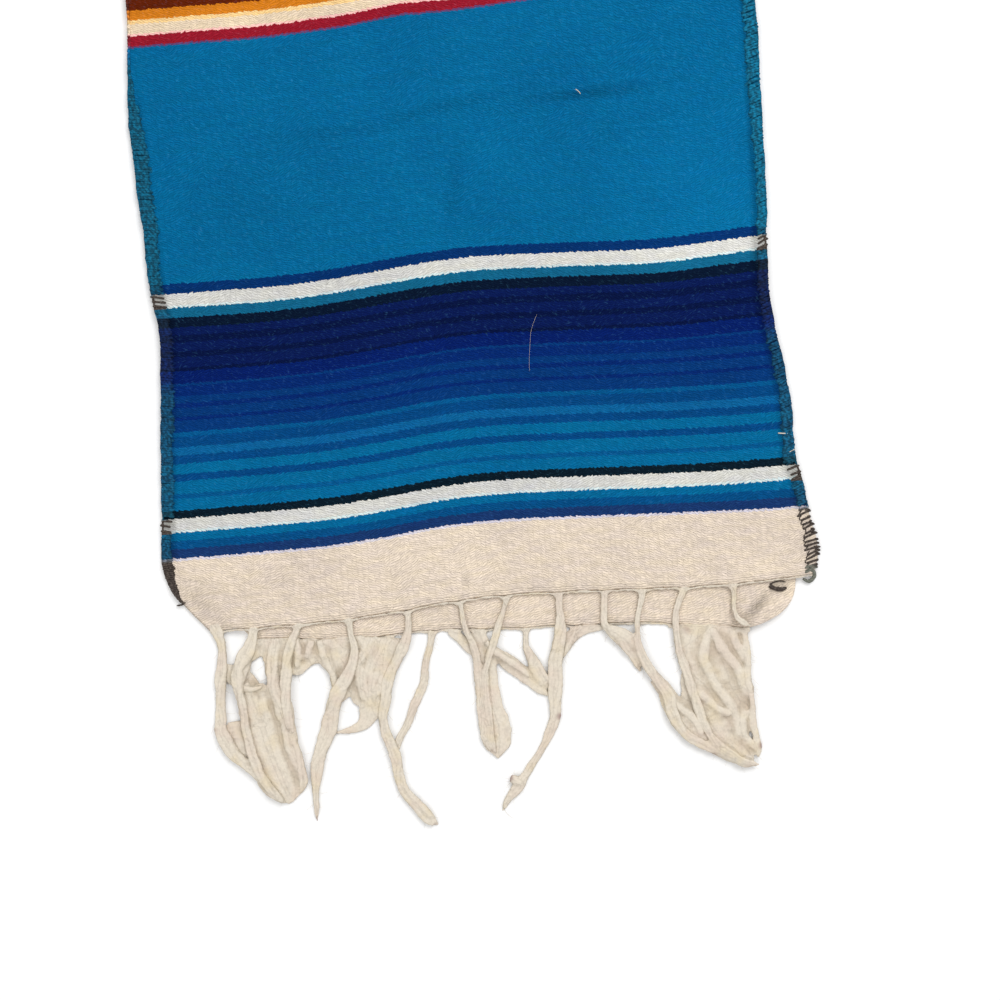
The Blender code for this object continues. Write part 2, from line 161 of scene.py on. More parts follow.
COLUMN_STEP = 0.0027        # the shell's widest faces, across and along
ROW_STEP = 0.0036
HIDDEN_ROW_STEP = 0.0100
FIRST_STEP = 0.00035        # its narrowest, at the rounded rim
FOLD_STEP = 0.0015          # and beside the fold, which has rows of its own
FOLD_ROWS = 15
STEP_GROWTH = 1.55
END_STEP_GROWTH = 1.22
RIM_ROUND = 0.0010
SWELL = 0.00022             # the cloth never lies quite flat
PUCKER = 0.00028            # the edge stitches draw the cloth up
PUCKER_REACH = 0.012
RELIEF_FADE = (0.02, 0.04)  # both die away towards the end and the fold
ROOT_PULL = 0.0006          # each knot draws the end out towards the fringe
ROOT_PULL_WIDTH = 0.0045
ROOT_PULL_REACH = 0.009
UPPER_ROOTS_MM = (-147, -127.5, -104, -77, -45, -17, 8, 36, 61.5, 81, 105, 130)
LOWER_ROOTS_MM = (-127.5, -116, -102, -91, -64, -32, -5, 17.5, 44, 53, 96, 110, 120, 131)
MM = 0.001


def smooth(share):
    """0 below 0, 1 above 1, and a soft S between."""
    share = np.clip(share, 0.0, 1.0)
    return share * share * (3.0 - 2.0 * share)


def smooth_curve(places, values, slopes, where):
    """The values on a smooth curve, with its slopes, through the rows at those places."""
    at = np.clip(np.searchsorted(places, where, side="right") - 1, 0, len(places) - 2)
    span = places[at + 1] - places[at]
    t = (where - places[at]) / span
    if values.ndim > 1:
        span, t = span[:, None], t[:, None]
    return ((2 * t**3 - 3 * t**2 + 1) * values[at] + (t**3 - 2 * t**2 + t) * span * slopes[at]
            + (3 * t**2 - 2 * t**3) * values[at + 1] + (t**3 - t**2) * span * slopes[at + 1])


def read_table(rows, column, place):
    """The column's value at each place, on a smooth curve through the table's rows."""
    places = np.array([row[0] for row in rows])
    values = np.array([getattr(row, column) for row in rows])
    before = np.clip(np.arange(len(rows)) - 1, 0, len(rows) - 1)
    after = np.clip(np.arange(len(rows)) + 1, 0, len(rows) - 1)
    slopes = (values[after] - values[before]) / (places[after] - places[before])
    return smooth_curve(places, values, slopes, np.clip(place, places[0], places[-1]))


def growing_steps(length, first, widest, growth, last):
    """Places from 0 to length whose steps grow from first to widest, and shrink to last."""
    places, step = [0.0], first
    while places[-1] + step < length / 2:
        places.append(places[-1] + step)
        step = min(step * growth, widest)
    far, step = [length], last
    while far[-1] - step > places[-1] + 0.3 * step:
        far.append(far[-1] - step)
        step = min(step * growth, widest)
    return np.array(places + far[::-1])


def root_pull(x, from_end, roots_mm):
    """How far the end is drawn out beside its knots, as a share."""
    pull = sum(np.exp(-((x - root * MM) / ROOT_PULL_WIDTH) ** 2) for root in roots_mm)
    return pull * (1.0 - smooth(from_end / ROOT_PULL_REACH))


def upper_line(x, from_end):
    """Y of one weft line of the upper layer."""
    y = UPPER_END_Y + from_end - ROOT_PULL * root_pull(x, from_end, UPPER_ROOTS_MM)
    for part in ("end", "near", "middle", "far"):
        y = y - read_table(WEFT_LINE, part, x) * read_table(WEFT_SHARES, part, from_end)
    return y


def lower_end(x):
    return UPPER_END_Y - read_table(LOWER_END_LINE, "drop", x)


def corner_lift(x, y):
    """Height of the lower layer's turned-up corner."""
    past = ((x - CORNER_X) * math.sin(CORNER_TURN)
            - (y - UPPER_END_Y + CORNER_DROP) * math.cos(CORNER_TURN))
    return (CORNER_LIFT * smooth(past / CORNER_RUN)
            * smooth((UPPER_END_Y - CORNER_TOP - y) / CORNER_FADE))


def crease_height(crease, x, from_end):
    turn = math.radians(crease.turn)
    along = np.abs((x - crease.across) * math.cos(turn)
                   + (from_end - crease.from_end) * math.sin(turn)) / (crease.length / 2)
    off = ((from_end - crease.from_end) * math.cos(turn)
           - (x - crease.across) * math.sin(turn)) / crease.width
    return crease.height * np.exp(-off * off) * (1.0 - smooth(along))


def upper_top(x, y, from_end):
    """Height of the upper layer's outer face. Past the lower layer's edge it sinks."""
    inside = y - lower_end(x)
    past = np.maximum(read_table(LOWER_EDGES, "left", inside) - x,
                      x - read_table(LOWER_EDGES, "right", inside))
    sunk = smooth((np.maximum(past, 0.0) - OVERHANG_START) / OVERHANG_RUN)
    return (2 * WALL + LAYER_GAP
            + sum(crease_height(crease, x, from_end) for crease in CREASES)
            - (WALL + LAYER_GAP - FLOOR_CLEAR) * sunk
            + FOLD_RISE * smooth((from_end - UPPER_RUN + FOLD_RUN) / FOLD_RUN))


def upper_face(from_end, share):
    left = read_table(UPPER_EDGES, "left", from_end)
    x = left + (read_table(UPPER_EDGES, "right", from_end) - left) * share
    y = upper_line(x, from_end)
    return np.stack([x, y, upper_top(x, y, from_end)], axis=-1)


def fold_face(angle, share):
    flat = upper_face(UPPER_RUN + 0.0 * angle, share)
    y = BEND_Y + FOLD_DEPTH * np.sin(angle) + 0.0 * share
    return np.stack([flat[..., 0], y, flat[..., 2] / 2 * (1.0 + np.cos(angle))], axis=-1)


def lower_face(from_end, share):
    """The lower layer's outer face, which lies on the floor."""
    left = read_table(LOWER_EDGES, "left", from_end)
    x = left + (read_table(LOWER_EDGES, "right", from_end) - left) * share
    y = lower_end(x) + (BEND_Y - lower_end(x)) * from_end / (BEND_Y - lower_end(0.0))
    y -= ROOT_PULL * root_pull(x, from_end, LOWER_ROOTS_MM)
    return np.stack([x, y, corner_lift(x, y)], axis=-1)


def cloth_grid():
    """The outer face's points, row by row, and how far along the cloth each row is."""
    width = UPPER_EDGES[-1].right - UPPER_EDGES[-1].left
    share = growing_steps(width, FIRST_STEP, COLUMN_STEP, STEP_GROWTH, FIRST_STEP)[None] / width
    upper = growing_steps(UPPER_RUN, FIRST_STEP, ROW_STEP, END_STEP_GROWTH, FOLD_STEP)
    lower_run = BEND_Y - lower_end(0.0)
    lower = growing_steps(lower_run, FIRST_STEP, HIDDEN_ROW_STEP, END_STEP_GROWTH, FOLD_STEP)
    angle = np.linspace(0.0, math.pi, FOLD_ROWS + 2)[1:-1]
    fold_length = (FOLD_DEPTH + WALL) * math.pi / 2
    points = np.concatenate([upper_face(upper[:, None], share),
                             fold_face(angle[:, None], share),
                             lower_face(lower[::-1, None], share)])
    along = np.concatenate([upper, UPPER_RUN + fold_length * angle / math.pi,
                            UPPER_RUN + fold_length + lower_run - lower[::-1]])
    return points, along


def surface_normals(points):
    normals = np.cross(np.gradient(points, axis=1), np.gradient(points, axis=0))
    return normals / np.linalg.norm(normals, axis=-1, keepdims=True)


cloth_points, cloth_along = cloth_grid()
cloth_normals = surface_normals(cloth_points)
CUT_LENGTH = float(cloth_along[-1])


def cloth_relief():
    """What handling and the edge stitches add to the outer face, by point."""
    x, y, along = cloth_points[..., 0], cloth_points[..., 1], cloth_along
    swell = (np.sin(61 * x + 23 * y + 0.4) * np.sin(37 * y - 19 * x + 1.1)
             + 0.6 * np.sin(118 * x - 47 * y + 2.0) * np.sin(83 * y + 1.7))
    from_side = np.minimum(x - x[:, :1], x[:, -1:] - x)
    drawn = np.exp(-(from_side / PUCKER_REACH) ** 2)
    pucker = np.sin(along * 590.0 + 1.9 * np.sin(along * 97.0)) + 0.6 * np.sin(along * 371.0)
    end_fade, fold_fade = RELIEF_FADE
    upper = (smooth((UPPER_RUN - along) / fold_fade) * smooth(along / end_fade))[:, None]
    return upper * (SWELL * swell + PUCKER * drawn * pucker[:, None])


cloth_outer = cloth_points + cloth_normals * cloth_relief()[..., None]


def add_mark(mesh, name, values):
    """Gives each point of the mesh a value that its finish reads."""
    mark = mesh.attributes.new(name, "FLOAT", "POINT")
    mark.data.foreach_set("value", values.astype(np.float32))


def make_cloth():
    """The shell: an outer and an inner face that share a rounded rim."""
    points = cloth_outer
    rows, columns = points.shape[:2]
    side = np.linalg.norm(points - points[:, :1], axis=-1)
    side = np.minimum(side, np.linalg.norm(points - points[:, -1:], axis=-1))
    end = np.minimum(cloth_along, CUT_LENGTH - cloth_along)[:, None]
    inward = np.clip(np.minimum(side, end) / RIM_ROUND, 0.0, 1.0)
    plump = np.sqrt(1.0 - (1.0 - inward) ** 2)[..., None]
    outer = points - cloth_normals * WALL / 2 * (1.0 - plump)
    inner = points - cloth_normals * WALL / 2 * (1.0 + plump)
    number = np.arange(rows * columns).reshape(rows, columns)
    under = number.copy()
    under[1:-1, 1:-1] = rows * columns + np.arange((rows - 2) * (columns - 2)).reshape(
        rows - 2, columns - 2)

    def quads(grid):
        return np.stack([grid[:-1, :-1], grid[:-1, 1:], grid[1:, 1:], grid[1:, :-1]], -1)

    faces = np.concatenate([quads(number).reshape(-1, 4),
                            quads(under).reshape(-1, 4)[:, ::-1]])
    mesh = bpy.data.meshes.new("serape_cloth_shell")
    mesh.from_pydata(np.concatenate([outer.reshape(-1, 3), inner[1:-1, 1:-1].reshape(-1, 3)]),
                     [], faces.tolist())
    add_mark(mesh, "from_side", np.concatenate([side.ravel(), side[1:-1, 1:-1].ravel()]))
    place = np.stack(np.broadcast_arrays(points[..., 0], cloth_along[:, None]), -1)
    place = np.concatenate([place.reshape(-1, 2), place[1:-1, 1:-1].reshape(-1, 2)])
    return mesh, place


def add_uv(mesh, name, place):
    """Gives each corner of the mesh its point's place, in metres of yarn or cloth."""
    corner = np.empty(len(mesh.loops), dtype=np.int32)
    mesh.loops.foreach_get("vertex_index", corner)
    mesh.uv_layers.new(name=name).data.foreach_set("uv", place[corner].astype(np.float32).ravel())


def add_piece(name, mesh, finish, slot, *nodes):
    """Links a finished mesh that rides on the part and stands for those of its nodes."""
    mesh.materials.append(finish)
    mesh.shade_smooth()
    piece = bpy.data.objects.new(name, mesh)
    add_to_scene(piece)
    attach(piece, "root")
    if nodes:
        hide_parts(*nodes)
    return piece


class Value:
    """A shader value that Python's operators work on."""

    def __init__(self, finish, socket):
        self.finish = finish
        self.socket = socket

    def math(self, operation, *others):
        return self.finish.math(operation, self, *others)

    def __add__(self, other):
        return self.math("ADD", other)

    __radd__ = __add__

    def __sub__(self, other):
        return self.math("SUBTRACT", other)

    def __rsub__(self, other):
        return self.finish.math("SUBTRACT", other, self)

    def __mul__(self, other):
        return self.math("MULTIPLY", other)

    __rmul__ = __mul__

    def __truediv__(self, other):
        return self.math("DIVIDE", other)

    def __rtruediv__(self, other):
        return self.finish.math("DIVIDE", other, self)

    def __pow__(self, other):
        return self.math("POWER", other)

    def __gt__(self, other):
        return self.math("GREATER_THAN", other)

    def __lt__(self, other):
        return self.math("LESS_THAN", other)

    def __abs__(self):
        return self.math("ABSOLUTE")


class Finish:
    """The material of one piece, and the shader nodes that make it."""

    def __init__(self, name):
        self.material = bpy.data.materials.new(name)
        self.material.use_nodes = True
        self.tree = self.material.node_tree
        self.shader = self.tree.nodes["Principled BSDF"]

    def node(self, kind, settings, sockets, out=0):
        """Adds a node with those settings, then gives its sockets values or links."""
        made = self.tree.nodes.new("ShaderNode" + kind)
        for name, value in settings.items():
            if name == "stops":
                self.set_stops(made.color_ramp.elements, value)
            elif name == "steps":
                made.color_ramp.interpolation = value
            else:
                setattr(made, name, value)
        for name, value in sockets.items():
            self.feed(made.inputs[name], value)
        return Value(self, made.outputs[out])

    def set_stops(self, elements, stops):
        while len(elements) < len(stops):
            elements.new(1.0)
        for element, (place, colour) in zip(elements, stops):
            element.position = place
            element.color = colour

    def feed(self, socket, value):
        if isinstance(value, Value):
            self.tree.links.new(value.socket, socket)
        else:
            socket.default_value = value

    def math(self, operation, *values):
        return self.node("Math", {"operation": operation}, dict(enumerate(values)))

    def mix(self, share, first, second):
        return self.node("Mix", {"data_type": "RGBA"}, {0: share, 6: first, 7: second}, out=2)

    def ramp(self, value, low, high):
        """0 below low, 1 above high, and a soft S between."""
        return self.node("MapRange", {"interpolation_type": "SMOOTHSTEP"},
                         {"Value": value, "From Min": low, "From Max": high})

    def noise(self, x, y, scale, detail=2.0):
        """Soft noise round 0.5 over a place that is already scaled to the grain's size."""
        place = self.node("CombineXYZ", {}, {"X": x, "Y": y})
        return self.node("TexNoise", {"noise_dimensions": "2D"},
                         {"Vector": place, "Scale": scale, "Detail": detail})

    def tone(self, colour, red, green, blue):
        """The colour made lighter or darker by a value round 1 for each of its parts."""
        parts = self.node("CombineXYZ", {}, {"X": red, "Y": green, "Z": blue})
        return self.node("VectorMath", {"operation": "MULTIPLY"}, {0: colour, 1: parts})

    def plane(self, vector):
        """The X and the Y of a place."""
        return [self.node("SeparateXYZ", {}, {"Vector": vector}, out=axis) for axis in "XY"]

    def yarn_place(self, uv_map):
        return self.plane(self.node("UVMap", {"uv_map": uv_map}, {}))

    def spot(self):
        """A place on the folded piece: X along the stripes, and Y."""
        return self.plane(self.node("TexCoord", {}, {}, out="Object"))

    def mark(self, name):
        """What add_mark gave the mesh's points."""
        return self.node("Attribute", {"attribute_name": name}, {}, out="Fac")

    def surface(self, colour, roughness, height, depth, shine):
        """Feeds the shader, and gives the finished material."""
        sockets = self.shader.inputs
        self.feed(sockets["Base Color"], colour)
        self.feed(sockets["Roughness"], roughness)
        bump = self.node("Bump", {}, {"Height": height, "Strength": 1.0, "Distance": depth})
        self.feed(sockets["Normal"], bump)
        sockets["Specular IOR Level"].default_value = shine
        return self.material


def dyed(red, green, blue):
    """A shader colour from the red, green and blue of a dyed yarn, each from 0 to 255."""
    return tuple(((part / 255 + 0.055) / 1.055) ** 2.4 for part in (red, green, blue)) + (1.0,)


YARNS = {name: dyed(*shade) for name, shade in {
    "cream": (225, 209, 191), "lilac_white": (212, 206, 216), "white": (209, 208, 203),
    "cool_white": (204, 219, 219), "black": (9, 26, 38), "indigo": (24, 53, 104),
    "sea_blue": (4, 75, 128), "turquoise": (2, 100, 148), "lagoon": (10, 93, 148),
    "azure": (2, 83, 137), "cobalt": (2, 68, 125), "sapphire": (4, 53, 115), "royal": (3, 39, 107),
    "ultramarine": (4, 29, 97), "navy": (8, 25, 79), "midnight": (5, 19, 62), "ink": (6, 21, 44),
    "teal": (16, 96, 132), "marine": (3, 47, 104), "plum": (96, 66, 110), "red": (148, 25, 42),
    "pink_white": (246, 190, 182), "peach": (228, 207, 178), "straw": (244, 205, 142),
    "orange": (208, 122, 28), "brown": (96, 32, 6), "yellow": (232, 190, 60), "green": (34, 110, 72),
}.items()}
# The plan from each cream end to the cloth's middle: a yarn, and its stripe's width. The warm
# stripes run the same on both sides of a green one.
COOL_STRIPES_MM = (
    ("cream", 38.6), ("lilac_white", 1.4), ("indigo", 4.8), ("sea_blue", 4.1),
    ("turquoise", 4.4), ("cool_white", 1.5), ("white", 6.2), ("black", 4.1),
    ("turquoise", 6.6), ("azure", 2.3), ("turquoise", 6.7), ("cobalt", 3.8),
    ("turquoise", 5.7), ("cobalt", 4.8), ("lagoon", 4.3), ("cobalt", 5.6), ("azure", 2.6),
    ("sapphire", 5.9), ("royal", 2.2), ("sapphire", 4.5), ("royal", 2.8), ("sapphire", 3.5),
    ("royal", 5.6), ("sapphire", 1.5), ("ultramarine", 6.6), ("midnight", 2.2), ("navy", 5.9),
    ("midnight", 3.1), ("navy", 4.5), ("midnight", 4.3), ("navy", 3.9), ("ink", 5.8),
    ("teal", 4.9), ("cool_white", 1.4), ("white", 6.4), ("marine", 4.9),
)
WARM_STRIPES_MM = (
    ("turquoise", 129.2), ("plum", 0.8), ("red", 5.2), ("pink_white", 1.8), ("peach", 5.4),
    ("straw", 1.5), ("orange", 6.0), ("brown", 7.2), ("red", 11.0), ("brown", 4.0),
    ("orange", 7.0), ("yellow", 6.0),
)
MIDDLE_STRIPES_MM = (
    ("marine", 4.9), ("white", 7.8), ("teal", 4.9), ("ink", 6.0), ("navy", 5.0),
    ("royal", 7.0), ("sapphire", 7.0), ("cobalt", 7.0), ("lagoon", 60.0),
)
STRIPES_MM = (*COOL_STRIPES_MM, *WARM_STRIPES_MM, ("green", 9.0), *WARM_STRIPES_MM[::-1],
              *MIDDLE_STRIPES_MM)
RAMP_STOPS = 30

FLOAT_WIDTH = 0.0029        # a float spans this much of the cloth's width
FLOAT_STEP = 0.00130        # and the next one in its column lies this far on
FLOAT_SLANT = 1.00          # in steps for each float's width
FLOAT_DEPTH = 0.00042
FLOAT_WANDER = 0.0022       # how far floats stray from their columns and rows
ROW_WAVE = 0.0075
STROKE_TURN = math.radians(25.0)
STRIPE_NOTCH = 0.34         # how far a stripe's edge follows its floats, and not a line
STRIPE_FRAY = 0.0010
CREAM_TOP = (0.0375, 0.0400)
SEAM_SHADE = 0.36           # the drawn-in cloth beside the edge stitches lies in shade
SEAM_SHADE_REACH = (0.0060, 0.0100)
LEFT_STITCHES_END = (0.270, 0.298)      # past here the left edge stitches turn under
HEADING = 0.0052            # the last picks before an end lie as plain ridges
HEADING_STEP = 0.00125
HEADING_WANDER = 0.0016
FLECK = dyed(96, 168, 200)  # pale fibres that stand out of the dyed floats
FLECK_SHARE = 0.09
# Soft ovals on the cloth, darker by their depth: painted shade along the crease troughs, a broad
# painted fall of light that leaves the left darker and the right lighter (a depth below nought is
# painted light), and small dark smudges. turn is from +X, in degrees, and reach and width are a
# shade's half length and half width.
Shade = namedtuple("Shade", "across along turn reach width depth")
UPPER_PAINTED_LIGHT_AND_SMUDGES = [Shade(*row) for row in (
    (0.09, 0.248, 0, 0.012, 0.012, 0.1), (-0.012, 0.009, 0, 0.004, 0.004, 0.16),
    (0.045, 0.276, 0, 0.02, 0.02, 0.05), (-0.1, 0.118, 0, 0.03, 0.03, 0.05),
    (-0.155, 0.02, 0, 0.018, 0.018, 0.1), (0.0712, 0.2672, 0, 0.0045, 0.0045, 0.16),
    (0.08, 0.268, 3, 0.054, 0.005, 0.24), (0.002, 0.2665, 7, 0.052, 0.0055, 0.17),
    (-0.062, 0.261, -4, 0.046, 0.006, 0.09), (0.001, 0.222, 78, 0.04, 0.008, 0.12),
    (-0.1, 0.22, 0, 0.09, 0.075, 0.06), (0.14, 0.205, 0, 0.085, 0.09, -0.14),
)]
# On the lower layer's corner, painted shade: in the trough of its turned-up tip, and in a patch
# beside the loose loop. Here along is from the upper end's mean line.
CORNER_PAINTED_SHADES = (
    Shade(0.1420, -0.0165, 42.0, 0.0155, 0.0048, 0.40),
    Shade(0.1550, -0.0065, 0.0, 0.0072, 0.0036, 0.34),
)
SIDE_RIM_SHADE = 0.30            # painted shade along the cream's left rim, below its stitches
SIDE_RIM_SHADE_WIDTH = (0.0005, 0.0019)
SIDE_RIM_SHADE_END = 0.018


def shaded(finish, x, y, shades):
    """How dark the shades make a place."""
    dark = sum(shade.depth for shade in shades)
    for shade in shades:
        cos, sin = math.cos(math.radians(shade.turn)), math.sin(math.radians(shade.turn))
        on = (x * (cos / shade.reach) + y * (sin / shade.reach)
              - (shade.across * cos + shade.along * sin) / shade.reach)
        off = (y * (cos / shade.width) - x * (sin / shade.width)
               - (shade.along * cos - shade.across * sin) / shade.width)
        far = (on * on + off * off).math("SQRT")
        dark = dark - finish.ramp(far, 0.0, 1.0) * shade.depth
    return dark


def stripe_colour(finish, place):
    """The yarn at a place along the plan, in metres from the nearer end."""
    starts = np.cumsum([0.0] + [width * MM for _, width in STRIPES_MM])
    colour = None
    for first in range(0, len(STRIPES_MM), RAMP_STOPS):
        last = min(first + RAMP_STOPS, len(STRIPES_MM))
        low, high = float(starts[first]), float(starts[last])
        stops = [((float(starts[at]) - low) / (high - low), YARNS[STRIPES_MM[at][0]])
                 for at in range(first, last)]
        run = finish.node("ValToRGB", {"steps": "CONSTANT", "stops": stops},
                          {"Fac": (place - low) / (high - low)})
        colour = run if colour is None else finish.mix(place > low, colour, run)
    return colour


def woven_wool():
    """Weft floats that lie aslant, column by column, in the plan's yarns."""
    finish = Finish("woven_wool")
    across, along = finish.yarn_place("weft_and_warp")
    from_side = finish.mark("from_side")
    wander = finish.noise(across, along, 240.0)
    drift = finish.noise(along, across, 130.0)
    turned = (finish.noise(across, along, 30.0, 0.0) > 0.66) * 2.0 - 1.0
    wavy = along + (finish.noise(across, along, 85.0, 1.0) - 0.5) * ROW_WAVE

    column_place = (across + (wander - 0.5) * FLOAT_WANDER) / FLOAT_WIDTH
    column = column_place.math("FLOOR")
    within = column_place - column
    jump = finish.node("TexWhiteNoise", {"noise_dimensions": "1D"}, {"W": column})
    offset = column * 0.5 + jump * 0.5
    float_place = ((along + (drift - 0.5) * FLOAT_WANDER) / FLOAT_STEP + offset
                   - turned * FLOAT_SLANT * (within - 0.5))
    number = float_place.math("FLOOR")
    rise = float_place - number
    crown = (rise * math.pi).math("SINE") ** 0.8
    tuck = 1.0 - abs(within * 2.0 - 1.0) ** 4.0 * 0.5
    own = finish.node("TexWhiteNoise", {"noise_dimensions": "2D"},
                      {"Vector": finish.node("CombineXYZ", {}, {"X": column, "Y": number})})

    up_stroke = wavy * math.cos(STROKE_TURN) - turned * across * math.sin(STROKE_TURN)
    on_stroke = across * math.cos(STROKE_TURN) + turned * wavy * math.sin(STROKE_TURN)
    strokes = finish.noise(on_stroke * 330.0, up_stroke * 950.0, 1.0, 1.0)
    fibre = finish.noise(on_stroke * 700.0, up_stroke * 3200.0, 1.0, 3.0)
    weave = crown * tuck * (0.45 + own * 0.30) + finish.ramp(strokes, 0.30, 0.72) * 0.35

    end_place = CUT_LENGTH / 2 - abs(along - CUT_LENGTH / 2)
    heading = 1.0 - finish.ramp(end_place, HEADING * 0.45, HEADING)
    ridge_place = (end_place + (wander - 0.5) * HEADING_WANDER) / HEADING_STEP
    ridge = abs((ridge_place * math.pi).math("SINE")) ** 0.7
    height = weave * (1.0 - heading) + ridge * heading + fibre * 0.30

    float_middle = (number + 0.5 - offset) * FLOAT_STEP
    from_end = CUT_LENGTH / 2 - abs(along + (float_middle - along) * STRIPE_NOTCH
                                    + (strokes - 0.5) * STRIPE_FRAY - CUT_LENGTH / 2)
    colour = stripe_colour(finish, from_end)
    streak = finish.noise(across * 14.0, along * 620.0, 1.0, 1.0)
    cloud = finish.noise(across, along, 24.0, 2.0)
    patch = finish.noise(across * 90.0 + 7.0, along * 260.0, 1.0, 2.0)
    # Painted light and shade: the floats' crowns lighter, the gaps between them darker.
    level = (0.80 + weave * 0.36 + (own - 0.5) * 0.10 + (fibre - 0.5) * 0.22
             + (streak - 0.5) * 0.14 + (cloud - 0.5) * 0.20)
    # Painted shade in crease troughs, a painted fall of light across it, and smudges.
    level = level - shaded(finish, across, along, UPPER_PAINTED_LIGHT_AND_SMUDGES)
    # Painted shade along the cream's left rim, below its stitches.
    left_rim_shade = (1.0 - finish.ramp(from_side, *SIDE_RIM_SHADE_WIDTH)) * (across < 0.0)
    level = level - left_rim_shade * (along < SIDE_RIM_SHADE_END) * SIDE_RIM_SHADE
    # Painted shade on the lower layer's turned-up corner.
    spot_x, spot_y = finish.spot()
    corner = shaded(finish, spot_x, spot_y - UPPER_END_Y, CORNER_PAINTED_SHADES)
    level = level - corner * (along > CUT_LENGTH / 2)
    dyed_wool = finish.ramp(from_end, *CREAM_TOP)
    beside_seam = (1.0 - finish.ramp(from_side, *SEAM_SHADE_REACH)) * dyed_wool
    stitched = 1.0 - finish.ramp(along, *LEFT_STITCHES_END) * (across < 0.0)
    level = level * (1.0 - beside_seam * stitched * SEAM_SHADE)
    warmth = (patch - 0.5) * 0.22 + (cloud - 0.5) * 0.10
    colour = finish.tone(colour, level * (1.0 + warmth * 0.3), level * (1.0 + warmth * 0.25),
                         level * (1.0 - warmth * 0.5))
    flecked = finish.ramp(strokes + (fibre - 0.5) * 1.2, 0.66, 0.95) * dyed_wool * FLECK_SHARE
    colour = finish.mix(flecked, colour, FLECK)

    return finish.surface(colour, 0.94 - crown * 0.08, height, FLOAT_DEPTH, 0.03)


cloth_mesh, cloth_place = make_cloth()
add_uv(cloth_mesh, "weft_and_warp", cloth_place)
cloth = add_piece("serape_cloth_shell", cloth_mesh, woven_wool(), "woven_cloth", "serape_cloth")

# ---- The fringe ----
# The cotton warp of each end, knotted off in bunches against a header cord. Washing has
# matted it: the bunches are soft locks of a few yarns, and some have felted into sheets.

